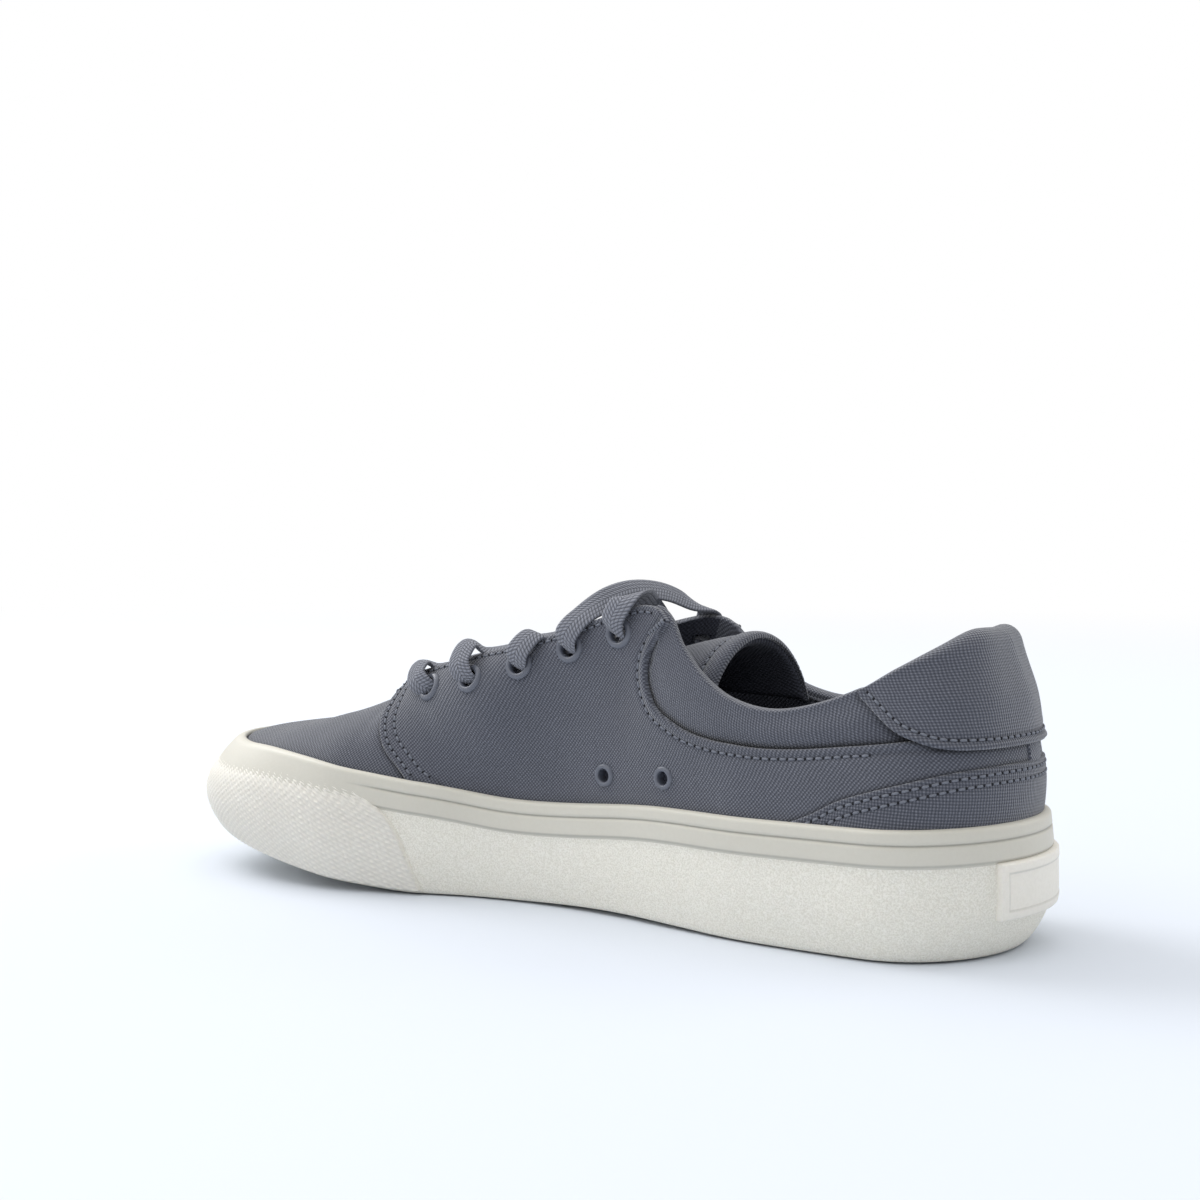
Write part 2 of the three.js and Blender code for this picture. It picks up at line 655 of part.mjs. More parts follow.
function eyeletSeat(side, index) {
  const upOf = (share) => {
    const angle = angleOf(share, side);
    const span = upperPoint(angle, 1).distanceTo(upperPoint(angle, 1 - seatPart));
    return 1 - (seatPart * eyeletFromEdge) / span;
  };
  return seat(side, firstEyelet - index * eyeletPitch, upOf);
}

function ventSeat(index) {
  const upOf = (share) => {
    const angle = angleOf(share, 1);
    return (seatPart * ventHeight) / (upperPoint(angle, seatPart).z - upperPoint(angle, 0).z);
  };
  return seat(1, firstVent - index * ventPitch, upOf);
}

const eyelets = [1, -1].flatMap((side) => Array.from({ length: eyeletCount }, (_, index) => ({
  name: `eyelet_${side > 0 ? 'medial' : 'lateral'}_${index + 1}`,
  radius: eyeletRadius, bore: eyeletBore, barrel: eyeletBarrel,
  ...eyeletSeat(side, index),
})));
const vents = [0, 1].map((index) => ({
  name: `vent_${index + 1}`,
  radius: ventRadius, bore: ventBore, barrel: ventBarrel,
  ...ventSeat(index),
}));

// Turns a geometry that stands on the XY plane so that it sits on the upper.
function place(geometry, { point, axis }) {
  const turn = new THREE.Quaternion().setFromUnitVectors(new THREE.Vector3(0, 0, 1), axis);
  return geometry.applyQuaternion(turn).translate(point.x, point.y, point.z);
}

function drill(shell) {
  let drilled = shell;
  for (const ring of [...eyelets, ...vents]) {
    const bore = new THREE.CylinderGeometry(ring.barrel + gap, ring.barrel + gap, drillLength, ringSides);
    bore.rotateX(Math.PI / 2);
    drilled = drilled.subtract(solidOf(place(bore, ring)));
  }
  return drilled;
}

// A ring with a flange outside and a barrel through the wall.
function makeRing(ring) {
  const { radius, bore, barrel } = ring;
  const depth = canvasWall + quarterStep;
  const profile = [
    [bore, -depth], [barrel, -depth], [barrel, gap * 1.5], [radius, gap * 1.5],
    [radius, gap + eyeletFlange * 0.6], [radius - eyeletRound, gap + eyeletFlange],
    [bore + eyeletRound / 2, gap + eyeletFlange], [bore, gap + eyeletFlange * 0.5], [bore, -depth],
  ].map(([r, z]) => new THREE.Vector2(r, z));
  const lathe = new THREE.LatheGeometry(profile, ringSides);
  lathe.rotateX(Math.PI / 2);
  return geometryFrom(solidOf(place(lathe, ring)));
}

// Overlay on the upper from one share up each rib to another.
function overlay(reach, lowOf, highOf, outOf, rows) {
  const angles = roundHeel(reach);
  const face = (along, up, layer) => {
    const angle = angles[Math.round(along * (angles.length - 1))];
    const share = shareOf(angle);
    const [low, high] = [lowOf(share), highOf(share)];
    return offUpper(angle, low + (high - low) * up, outOf(up, layer));
  };
  return patch(angles.length - 1, rows, 0, 1, face);
}

function makeCounter() {
  const base = quarterStep + overlayGap;
  const top = (share) => smooth(seamRows, 'counter', share);
  return overlay(counterReach, () => 0.035, top, (up, layer) => base + layer * counterWall, 3);
}

// The heel tab lies on the collar panel and stands off a little at its lower edge.
function makeTab() {
  const bottom = (share) => smooth(seamRows, 'tab', share) + 0.02;
  const out = (up, layer) => quarterStep * 1.4 + overlayGap + tabFlare * (1 - up) ** 3 + layer * tabWall;
  return overlay(tabReach, bottom, () => 0.995, out, 5);
}

function makeInsole() {
  const inset = foxingWall + canvasWall + insoleClear;
  const loops = stations.map((angle) => {
    const share = shareOf(angle);
    const [low, high] = [floorAt(share) + gap, floorAt(share) + gap + insoleWall];
    return [low, high].map((height) => wallPoint(angle, levelAt(share, height), inset));
  });
  const points = triangles(loops, { closedLoops: true, closedRows: false });
  points.push(...capAcross(loops.map((loop) => loop[0]), true));
  points.push(...capAcross(loops.map((loop) => loop[1]), false));
  return geometryOf(points);
}

// Arched tongue: each section is a part of an ellipse across the foot, and its free end has turned a little
// to the outer side.
function tonguePoint(across, along, out) {
  const column = (name) => smooth(tongueRows, name, along);
  const turn = across * tongueSweep;
  const half = ballWidth * column('half') + out;
  const arch = ballWidth * column('arch') + out;
  return new THREE.Vector3(
    length * (column('along') - 0.5) + tongueTurn * across * along ** 3,
    ballWidth * tongueCentre + half * Math.sin(turn),
    instepHeight * column('height') - arch * (1 - Math.cos(turn)) + out,
  );
}

function makeTongue() {
  const face = (along, up, out) => tonguePoint(2 * up - 1, along, out);
  return patch(12, 10, -tongueWall, 0, face);
}

// A flat ribbon through points, each with its own outward direction.
function ribbon(stops) {
  const path = new THREE.CatmullRomCurve3(stops.map((stop) => stop.point), false, 'centripetal');
  const facing = new THREE.CatmullRomCurve3(stops.map((stop) => stop.facing), false, 'centripetal');
  const steps = 11;
  const loops = [];
  for (let i = 0; i <= steps; i++) {
    const centre = path.getPoint(i / steps);
    const ahead = path.getTangent(i / steps);
    const up = facing.getPoint(i / steps).normalize();
    const wide = new THREE.Vector3().crossVectors(ahead, up).normalize();
    const flat = new THREE.Vector3().crossVectors(wide, ahead).normalize();
    const corner = (w, f) => centre.clone()
      .addScaledVector(wide, (w * laceWidth) / 2)
      .addScaledVector(flat, (f * laceWall) / 2);
    loops.push([corner(-1, -0.6), corner(-0.8, 1), corner(0.8, 1), corner(1, -0.6), corner(0, -1)]);
  }
  const points = triangles(loops, { closedLoops: false, closedRows: true });
  points.push(...fan(loops[0], true), ...fan(loops.at(-1), false));
  return solidOf(geometryOf(points));
}

// Stops of a ribbon that leaves an eyelet and climbs over the edge of the throat. The top one lies looser.
function leave(side, index) {
  const { angle, up } = eyeletSeat(side, index);
  const loose = index >= eyeletCount - 2 ? looseLift : 0;
  const lift = quarterStep + laceLift + loose + laceWall / 2;
  const span = (1 - up) / eyeletFromEdge;
  const start = up + (eyeletRadius + laceClear) * span;
  return [[start, lift], [1, lift + edgeLift]].map(([at, out]) => ({
    point: offUpper(angle, at, out), facing: upperNormal(angle, at),
  }));
}

const upward = new THREE.Vector3(0, 0, 1);

// Where a ribbon goes under the far edge, it stops short of it and a little lower.
function arrive(side, index) {
  const { angle } = eyeletSeat(side, index);
  const edge = upperPoint(angle, 1);
  const away = new THREE.Vector3(0, -side, 0);
  const point = edge.clone().addScaledVector(away, laceShort).setZ(edge.z + laceUnder);
  return [{ point, facing: upward }];
}

// Two ribbons that cross over the middle of the throat, one lying on the other.
function makeCrossing(index) {
  const last = index === eyeletCount - 2;
  const routes = [1, -1].map((side) => ({
    from: leave(side, index),
    to: last ? leave(-side, index + 1).reverse() : arrive(-side, index + 1),
  }));
  const centre = new THREE.Vector3();
  for (const { from, to } of routes) centre.add(from.at(-1).point).add(to[0].point);
  centre.divideScalar(4);
  centre.z += last ? looseArc : crossingArc;
  const strands = routes.map(({ from, to }, order) => {
    const point = centre.clone().setZ(centre.z + order * (laceWall - laceSink));
    return ribbon([...from, { point, facing: upward }, ...to]);
  });
  return geometryFrom(strands[0].add(strands[1]));
}

const finishes = {
  canvas: new THREE.MeshStandardMaterial({ color: 0x5f6370, roughness: 0.9, metalness: 0 }),
  lining: new THREE.MeshStandardMaterial({ color: 0x1d1f26, roughness: 0.95, metalness: 0 }),
  rubber: new THREE.MeshStandardMaterial({ color: 0xdcd6ca, roughness: 0.6, metalness: 0 }),
  enamel: new THREE.MeshStandardMaterial({ color: 0x585b66, roughness: 0.4, metalness: 0 }),
  braid: new THREE.MeshStandardMaterial({ color: 0x5a5d68, roughness: 0.9, metalness: 0 }),
};

const shoe = new THREE.Group();
shoe.name = 'skateboarding_shoe';

function addPiece(name, geometry, finish) {
  const mesh = new THREE.Mesh(geometry, finishes[finish]);
  mesh.name = name;
  shoe.add(mesh);
}

addPiece('sole', makeSole(), 'rubber');
addPiece('foxing', makeFoxing(), 'rubber');
addPiece('toe_bumper', makeBumper(), 'rubber');
addPiece('heel_label', makeLabel(), 'rubber');
addPiece('insole', makeInsole(), 'lining');
addPiece('upper', makeUpper(), 'canvas');
addPiece('heel_counter', makeCounter(), 'canvas');
addPiece('heel_tab', makeTab(), 'canvas');
addPiece('tongue', makeTongue(), 'canvas');
for (const ring of [...eyelets, ...vents]) addPiece(ring.name, makeRing(ring), 'enamel');
for (let index = 0; index < eyeletCount - 1; index++) {
  addPiece(`lace_crossing_${index + 1}`, makeCrossing(index), 'braid');
}

// The origin is the middle of the shoe's outline, on the floor.
const box = new THREE.Box3().setFromObject(shoe);
const middle = box.getCenter(new THREE.Vector3());
shoe.position.set(-middle.x, -middle.y, -box.min.z);

export default shoe;
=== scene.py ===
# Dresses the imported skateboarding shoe: canvas panels, stitching, laces, rubber and linings round the CAD
# frame. Shapes are worked out in millimetres in the shoe's own axes: +X to the toe, +Y to the inner side, +Z
# up.
import bpy
import bmesh
import numpy as np
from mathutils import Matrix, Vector


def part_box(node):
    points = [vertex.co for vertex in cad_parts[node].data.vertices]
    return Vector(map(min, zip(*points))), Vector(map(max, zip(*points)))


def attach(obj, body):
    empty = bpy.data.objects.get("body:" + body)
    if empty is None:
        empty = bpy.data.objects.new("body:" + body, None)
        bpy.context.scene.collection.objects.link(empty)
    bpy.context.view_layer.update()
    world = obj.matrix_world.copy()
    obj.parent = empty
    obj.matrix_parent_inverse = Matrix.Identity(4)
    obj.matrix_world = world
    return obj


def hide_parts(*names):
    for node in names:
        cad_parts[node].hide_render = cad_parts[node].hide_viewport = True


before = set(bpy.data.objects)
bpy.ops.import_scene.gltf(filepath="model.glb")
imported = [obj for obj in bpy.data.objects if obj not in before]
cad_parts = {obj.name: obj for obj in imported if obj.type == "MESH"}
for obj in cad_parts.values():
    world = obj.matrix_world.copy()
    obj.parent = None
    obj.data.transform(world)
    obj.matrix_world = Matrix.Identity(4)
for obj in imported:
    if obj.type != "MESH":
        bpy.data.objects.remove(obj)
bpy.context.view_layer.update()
print("frame loaded")

shoe = {
    "length": 296, "ballWidth": 110, "heelHeight": 88.5, "instepHeight": 93.5, "wallHeight": 36.5,
    "toeSpring": 13, "archRelief": 0.8, "archBack": 0.32, "archFront": 0.5, "archRun": 0.08,
    "foxingWall": 3, "gap": 0.3, "bulgeAt": 0.45, "heelRound": 0.13, "toeRound": 0.28,
    "heelPower": 2, "toePower": 2.2, "footReach": 0.36, "headReach": 0.4, "throatFront": 0.73,
    "turnFrom": 0.12, "turnTo": 0.42, "heelStraight": 0.05, "throatFrom": 0.34, "throatTo": 0.44,
    "firstEyelet": 46.5, "eyeletPitch": 17.8, "eyeletCount": 5, "eyeletFromEdge": 8.5,
    "firstVent": -21, "ventPitch": 23, "ventHeight": 8, "seatPart": 0.4, "quarterStep": 0.9,
    "canvasWall": 2.4, "collarPad": 3.2,
}

# Sole seen from above: centre line and half width as shares of the ball width.
outlineTable = {
    "at": [0, .13, .26, .34, .42, .5, .58, .66, .74, .8, .88, .95, 1],
    "centre": [0, .005, -.005, -.024, -.052, -.073, -.085, -.078, -.066, -.058, -.033, 0, .02],
    "half": [.368, .368, .358, .34, .325, .333, .368, .432, .487, .497, .497, .488, .47],
}

# Side wall: lift of the underside, height of the rim, inset at the foot, lean at the rim, level of the floor.
wallTable = {
    "at": [0, .1, .22, .35, .47, .55, .65, .71, .78, .85, .92, 1],
    "lift": [0, 0, 0, 0, 0, 0, 0, .13, .33, .56, .79, 1],
    "rim": [1.03, 1, .98, .95, .875, .88, .985, 1.01, 1.02, .985, .9, .85],
    "tuck": [.2, .1, .06, .05, .05, .05, .06, .08, .1, .13, .17, .2],
    "lean": [.04, .03, .03, .03, .04, .05, .07, .1, .14, .2, .26, .3],
    "floor": [.55, .54, .52, .48, .43, .39, .36, .35, .35, .35, .35, .35],
}

# Top line of the upper and the bend of the rib that carries each of its points.
ribTable = {
    "at": [0, .03, .07, .12, .18, .24, .3, .35, .39, .42, .445, .475, .52, .555, .585, .61, .63, .66, .7,
           .718, .73, .8, .87, .94, 1],
    "along": [.049, .055, .078, .122, .179, .233, .28, .314, .341, .357, .375, .405, .47, .535, .602, .655,
              .689, .71, .726, .731, .733, .766, .799, .831, .852],
    "centre": [0, 0, 0, .002, .004, .003, -.002, -.008, -.012, -.014, -.015, -.016, -.016, -.015, -.013,
               -.012, -.011, -.01, -.008, -.007, -.007, -.004, 0, .005, .01],
    "half": [0, .123, .205, .251, .269, .276, .278, .273, .26, .246, .232, .22, .208, .2, .19, .172, .142,
             .114, .075, .04, 0, 0, 0, 0, 0],
    "height": [1, 1, .945, .858, .768, .72, .735, .795, .882, .96, .998, .99, .92, .852, .8, .757, .73, .706,
               .682, .672, .668, .617, .575, .547, .53],
    "drop": [0, 0, .005, .012, .016, .016, .013, .016, .034, .055, .064, .055, .035, .02, .01, .004, 0, 0,
             0, 0, 0, 0, 0, 0, 0],
    "forward": [0, 0, 0, 0, .002, .005, .01, .013, .016, .017, .016, .012, .006, .002, 0, 0, 0, 0, 0, 0, 0,
                0, 0, 0, 0],
    "lean": [-9, -8, -5, 0, 2, 3, 2, 0, -2, -3, -3, -2, 0, 4, 9, 14, 18, 24, 29, 32, 34, 43, 54, 64, 70],
    "fall": [74, 76, 80, 84, 86, 86, 84, 81, 77, 72, 66, 61, 51, 43, 34, 28, 23, 18, 14, 13, 12, 12, 13, 13,
             11],
}

# How much of the collar's padding lies at each place.
padTable = {"at": [0, .17, .205, .3, .36, .4, .425, .445, 1], "pad": [1, 1, 1, .8, .45, .2, .1, 0, 0]}


# Cubic through a table's rows, where a row's slope is that of the line between its neighbours.
def read(table, column, at):
    at = np.asarray(at, float)
    x = np.array(table["at"], float)
    y = np.array(table[column], float)
    slope = np.empty_like(y)
    slope[1:-1] = (y[2:] - y[:-2]) / (x[2:] - x[:-2])
    slope[0] = (y[1] - y[0]) / (x[1] - x[0])
    slope[-1] = (y[-1] - y[-2]) / (x[-1] - x[-2])
    i = np.clip(np.searchsorted(x, at, side="left") - 1, 0, len(x) - 2)
    span = x[i + 1] - x[i]
    t = np.clip((at - x[i]) / span, 0, 1)
    bend = (1 - t) * slope[i] - t * slope[i + 1]
    return y[i] + (y[i + 1] - y[i]) * t * t * (3 - 2 * t) + span * t * (1 - t) * bend


# Rises smoothly from 0 to 1 between two values.
def rise(start, end, value):
    t = np.clip((value - start) / (end - start), 0, 1)
    return t * t * (3 - 2 * t)


def unit(vectors):
    return vectors / np.maximum(np.linalg.norm(vectors, axis=-1, keepdims=True), 1e-9)


# Half a turn of the angle runs along the inner side from heel to toe, and the other half comes back.
def shareOf(angle):
    return (1 - np.cos(angle)) / 2


def angleOf(share, side=1):
    return side * np.arccos(np.clip(1 - 2 * np.asarray(share, float), -1, 1))


def sideOf(angle):
    return np.where(np.sin(angle) >= 0, 1.0, -1.0)


# The sole's widest line: x runs with the share, y is centre plus half width, rounded off at both ends.
def outline(angle):
    share = shareOf(angle)
    back = np.maximum(1 - share / shoe["heelRound"], 0)
    front = np.maximum(1 - (1 - share) / shoe["toeRound"], 0)
    ends = (1 - back ** shoe["heelPower"]) ** (1 / shoe["heelPower"])
    ends = ends * (1 - front ** shoe["toePower"]) ** (1 / shoe["toePower"])
    half = read(outlineTable, "half", share) * ends * sideOf(angle)
    x = shoe["length"] * (share - 0.5)
    y = shoe["ballWidth"] * (read(outlineTable, "centre", share) + half)
    return np.stack([x, y, np.zeros_like(x)], -1)


def outlineNormal(angle):
    run = outline(angle + 0.01) - outline(angle - 0.01)
    return unit(np.stack([-run[..., 1], run[..., 0], np.zeros_like(run[..., 0])], -1))


def liftAt(share):
    run = shoe["archRun"]
    relief = rise(shoe["archBack"] - run, shoe["archBack"] + run, share)
    relief = relief * (1 - rise(shoe["archFront"] - run, shoe["archFront"] + run, share))
    lift = np.maximum(read(wallTable, "lift", share), 0)
    return shoe["toeSpring"] * lift + shoe["archRelief"] * relief


def rimAt(share):
    return liftAt(share) + shoe["wallHeight"] * read(wallTable, "rim", share)


def floorAt(share):
    return liftAt(share) + shoe["wallHeight"] * read(wallTable, "floor", share)


# Side wall: level 0 is its foot and 1 its rim. It is tucked in below its widest line and leans in above it.
def wall(angle, level, inset):
    angle, level, inset = np.broadcast_arrays(*[np.asarray(v, float) for v in (angle, level, inset)])
    share = shareOf(angle)
    below = np.maximum(1 - level / shoe["bulgeAt"], 0)
    above = np.maximum((level - shoe["bulgeAt"]) / (1 - shoe["bulgeAt"]), 0)
    tuck = shoe["wallHeight"] * read(wallTable, "tuck", share) * below ** 2
    lean = shoe["wallHeight"] * read(wallTable, "lean", share) * above ** 1.8
    point = outline(angle) - outlineNormal(angle) * (tuck + lean + inset)[..., None]
    point[..., 2] = liftAt(share) + level * (rimAt(share) - liftAt(share))
    return point


def head(angle):
    share = shareOf(angle)
    side = sideOf(angle)
    outer = (side < 0).astype(float)
    half = np.where(share >= shoe["throatFront"], 0, np.maximum(read(ribTable, "half", share), 0))
    turn = rise(shoe["turnFrom"], shoe["turnTo"], share)
    tall = shoe["heelHeight"] * (1 - turn) + shoe["instepHeight"] * turn
    x = shoe["length"] * (read(ribTable, "along", share) + outer * read(ribTable, "forward", share) - 0.5)
    y = shoe["ballWidth"] * (read(ribTable, "centre", share) + side * half)
    z = tall * (read(ribTable, "height", share) - outer * read(ribTable, "drop", share))
    return np.stack([x, y, z], -1)


# Outward direction of every rib, seen from above. Where a rib's foot and top lie close it would swing round
# within a few millimetres, so it is averaged over its neighbours with a bell-shaped weight.
def softOutward(sway=0.12, count=1440):
    turn = np.linspace(-np.pi, np.pi, count, endpoint=False)
    flat = unit((wall(turn, 1, shoe["foxingWall"] + shoe["gap"]) - head(turn)) * [1, 1, 0])
    reach = np.arange(-90, 91)
    bell = np.exp(-(reach * 2 * np.pi / count / sway) ** 2)
    flat = sum(weight * np.roll(flat, shift, axis=0) for weight, shift in zip(bell, reach))
    return np.append(turn, np.pi), unit(np.concatenate([flat, flat[:1]]))


ribAngle, ribOutward = softOutward()


# The upper's face: each rib is a cubic Bezier curve from the sole's rim up to the top line. Below 0 it goes
# on down behind the rubber band.
def skin(angle, up):
    angle, up = np.broadcast_arrays(np.asarray(angle, float), np.asarray(up, float))
    share = shareOf(angle)
    inset = shoe["foxingWall"] + shoe["gap"]
    foot, top = wall(angle, 1, inset), head(angle)
    span = np.linalg.norm(foot - top, axis=-1)[..., None]
    lean = np.radians(read(ribTable, "lean", share))[..., None]
    fall = np.radians(read(ribTable, "fall", share))[..., None]
    within = (angle + np.pi) % (2 * np.pi) - np.pi
    outward = unit(np.stack([np.interp(within, ribAngle, ribOutward[:, k]) for k in range(3)], -1))
    normal, upward = outlineNormal(angle), np.array([0, 0, 1.0])
    low = foot + span * shoe["footReach"] * (np.cos(lean) * upward - np.sin(lean) * unit(normal + outward))
    across = (1 - rise(0, shoe["heelStraight"], share)) / 2
    across = np.minimum(across + rise(shoe["throatFrom"], shoe["throatTo"], share), 1)[..., None]
    spread = unit(normal * (1 - across) + outward * across)
    high = top + span * shoe["headReach"] * (np.cos(fall) * spread - np.sin(fall) * upward)
    t = np.clip(up, 0, 1)[..., None]
    rib = foot * (1 - t) ** 3 + 3 * low * t * (1 - t) ** 2 + 3 * high * t * t * (1 - t) + top * t ** 3
    return np.where(up[..., None] < 0, wall(angle, 1 + np.minimum(up, 0), inset), rib)


def skinNormal(angle, up):
    rising = skin(angle, np.minimum(up + 0.004, 1)) - skin(angle, np.maximum(up, 0) - 0.004 * (up > 0))
    rising = np.where(np.asarray(up)[..., None] < 0, np.array([0, 0, 1.0]), rising)
    return unit(np.cross(rising, skin(angle + 0.004, up) - skin(angle - 0.004, up)))


# The CAD's place against these axes: middle of its rubber band against middle of the same band here.
turn = np.linspace(-np.pi, np.pi, 721)
band = wall(turn, shoe["bulgeAt"], 0)
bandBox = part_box("foxing")
place = np.zeros(3)
for axis in (0, 1):
    middle = 500 * (bandBox[0][axis] + bandBox[1][axis])
    place[axis] = middle - (band[:, axis].min() + band[:, axis].max()) / 2


# Cubic curve through points, with slopes taken between each point's neighbours, read at even steps.
def curveThrough(points, count):
    points = np.asarray(points, float)
    step = np.linalg.norm(np.diff(points, axis=0), axis=1) ** 0.5
    table = {"at": np.concatenate([[0], np.cumsum(step)])}
    at = np.linspace(0, table["at"][-1], count)
    columns = [read({**table, "v": points[:, k]}, "v", at) for k in range(points.shape[1])]
    return np.stack(columns, -1)


# Lengths along a line of points, from 0 at its start.
def lengths(points):
    step = np.linalg.norm(np.diff(points, axis=0), axis=-1)
    return np.concatenate([[0], np.cumsum(step)])


# Angles from one share to another that lie evenly along the sole's rim.
def evenAngles(start, end, pitch):
    angle = np.linspace(start, end, 800)
    run = lengths(wall(angle, 1, 3))
    count = int(round(run[-1] / pitch)) + 1
    return np.interp(np.linspace(0, run[-1], count), run, angle)


# Angles that lie evenly along the rim on both sides of the heel, out to a share of the length.
def roundHeel(reach, pitch):
    half = evenAngles(0, angleOf(reach), pitch)
    return np.concatenate([-half[:0:-1], half])


# Angles that lie evenly along the rim all the way round.
def allRound(pitch):
    half = evenAngles(0, np.pi, pitch)
    return np.concatenate([half, -half[-2:0:-1]])


# The same line with more points, read at even steps of its own points.
def finer(line, count):
    at = np.linspace(0, len(line) - 1, count)
    return np.stack([np.interp(at, np.arange(len(line)), line[:, k]) for k in range(3)], -1)


# Places on a line at given lengths along it.
def alongLine(run, line, at):
    return np.stack([np.interp(at, run, line[:, k]) for k in range(3)], -1)


# Cells of a grid, counted row by row, each going up and then along.
def gridQuads(rows, columns, wrapRows=False, wrapColumns=False):
    i, j = np.meshgrid(np.arange(rows - (not wrapRows)), np.arange(columns - (not wrapColumns)),
                       indexing="ij")
    k, l = (i + 1) % rows, (j + 1) % columns
    cells = [i * columns + j, i * columns + l, k * columns + l, k * columns + j]
    return np.stack(cells, -1).reshape(-1, 4)


# Signed volume of closed quads, so that a shell can be turned to face outwards.
def volume(points, quads):
    a, b, c, d = (points[quads[:, k]] for k in range(4))
    return (np.einsum("ij,ij->i", a, np.cross(b, c)) + np.einsum("ij,ij->i", a, np.cross(c, d))).sum() / 6


# Puts points in millimetres and four-cornered faces into a piece, with its cloth map in millimetres and a
# mark of painted shade, from 0 to 1, of how deep each point lies in a seam or a moulded line, where cloth and
# rubber are painted darker to stand for the shade there.
def addPiece(name, points, quads, material, uv=None, closed=True, sharp=50, weld=0, paintedShade=None):
    points = points.reshape(-1, 3)
    if closed and volume(points - points.mean(0), quads) < 0:
        quads = quads[:, ::-1]
    mesh = bpy.data.meshes.new(name)
    mesh.from_pydata(((points + place) / 1000).tolist(), [], quads.tolist())
    # The painted shade mark is stored as a point attribute for the materials to darken by.
    if paintedShade is not None:
        marks = mesh.attributes.new("paintedShade", "FLOAT", "POINT")
        marks.data.foreach_set("value", np.clip(paintedShade, 0, 1).astype(np.float32).ravel())
    if uv is not None:
        layer = mesh.uv_layers.new(name="cloth")
        layer.data.foreach_set("uv", uv.reshape(-1, 2)[quads.ravel()].astype(np.float32).ravel())
    if weld:
        work = bmesh.new()
        work.from_mesh(mesh)
        bmesh.ops.remove_doubles(work, verts=work.verts, dist=weld)
        work.to_mesh(mesh)
        work.free()
    mesh.validate()
    mesh.shade_smooth()
    if sharp:
        mesh.set_sharp_from_angle(angle=np.radians(sharp))
    mesh.materials.append(material)
    piece = bpy.data.objects.new(name, mesh)
    bpy.context.scene.collection.objects.link(piece)
    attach(piece, "root")
    return piece


# Closed shell of cloth between an outer and an inner grid. Cells that are cut away leave round holes, and
# every open edge gets a strip of faces from the outer grid to the inner one.
def addShell(name, outer, inner, material, uv, paintedShade=None, keep=None):
    rows, columns = outer.shape[:2]
    keep = np.ones((rows - 1, columns - 1), bool) if keep is None else keep
    index = np.arange(rows * columns).reshape(rows, columns)
    under = rows * columns
    cells = gridQuads(rows, columns)[keep.ravel()]
    quads = [cells, cells[:, ::-1] + under]
    framed = np.pad(keep, 1)
    for first, second, a, b in (
            (framed[:-1, 1:-1], framed[1:, 1:-1], index[:, :-1], index[:, 1:]),
            (framed[1:-1, 1:], framed[1:-1, :-1], index[:-1], index[1:])):
        for wanted, c, d in ((second & ~first, a, b), (first & ~second, b, a)):
            c, d = c[wanted], d[wanted]
            quads.append(np.stack([d, c, c + under, d + under], -1))
    points = np.stack([outer, inner]).reshape(-1, 3)
    marks = None if paintedShade is None else np.concatenate([paintedShade.ravel(), np.zeros(under)])
    return addPiece(name, points, np.concatenate(quads), material, np.stack([uv, uv]), paintedShade=marks)


# Cells of a grid that lie within a radius of a line through any of the given places are cut away.
def cutRound(points, spots, radius):
    middle = (points[:-1, :-1] + points[1:, :-1] + points[:-1, 1:] + points[1:, 1:]) / 4
    keep = np.ones(middle.shape[:2], bool)
    for spot in spots:
        apart = middle - spot["point"]
        along = apart @ spot["axis"]
        away = np.linalg.norm(apart - along[..., None] * spot["axis"], axis=-1)
        keep &= (away > radius) | (np.abs(along) > 9)
    return keep


# A line on a built grid at a distance from its edge: in each row it is where the distance first reaches the
# wanted value, counted from the edge in the last column. Gives points and the grid's own outward directions.
def rowOnGrid(face, distance, row):
    facing = unit(np.cross(np.gradient(face, axis=1), np.gradient(face, axis=0)))
    face, facing, distance = face[:, ::-1], facing[:, ::-1], distance[:, ::-1]
    k = np.clip((distance >= row).argmax(1), 1, distance.shape[1] - 1)
    i = np.arange(len(face))
    near, far = distance[i, k - 1], distance[i, k]
    t = np.clip((row - near) / np.maximum(far - near, 1e-6), 0, 1)[:, None]
    line = face[i, k - 1] * (1 - t) + face[i, k] * t
    normal = unit(facing[i, k - 1] * (1 - t) + facing[i, k] * t)
    return line, normal


# Cloth map of the skin in millimetres: u is the length round the shoe as seen from above, from the heel's
# middle, and v is the length up the side, both summed over a fine grid of the skin.
def skinCloth():
    turn, rising = np.linspace(-2.3, 2.3, 461), np.linspace(-0.2, 1, 61)
    grid = skin(turn[:, None], rising[None])
    roundLength = np.linalg.norm(np.diff(grid[..., :2], axis=0), axis=-1)
    u = np.concatenate([np.zeros((1, 61)), np.cumsum(roundLength, 0)])
    tangent = unit(np.gradient(grid, axis=0) * [1, 1, 0])[:, 1:]
    step = np.diff(grid, axis=1)
    upward = np.sqrt(np.maximum((step ** 2).sum(-1) - (step * tangent).sum(-1) ** 2, 0))
    v = np.concatenate([np.zeros((461, 1)), np.cumsum(upward, 1)], 1)
    return np.stack([u - u[230], v], -1)


clothTable = skinCloth()


# Cloth map of points on the skin, read between the four nearest points of the table, and turned by some
# degrees.
def clothMap(angle, up, turned=0.0):
    a, b = np.broadcast_arrays((np.asarray(angle) + 2.3) / 0.01, (np.asarray(up) + 0.2) / 0.02)
    i, j = (np.clip(np.floor(a), 0, 459).astype(int), np.clip(np.floor(b), 0, 59).astype(int))
    f, g = (a - i)[..., None], (b - j)[..., None]
    low = clothTable[i, j] * (1 - f) + clothTable[i + 1, j] * f
    high = clothTable[i, j + 1] * (1 - f) + clothTable[i + 1, j + 1] * f
    return turnMap(low * (1 - g) + high * g, turned)


def turnMap(uv, degrees):
    c, s = np.cos(np.radians(degrees)), np.sin(np.radians(degrees))
    return np.stack([uv[..., 0] * c - uv[..., 1] * s, uv[..., 0] * s + uv[..., 1] * c], -1)


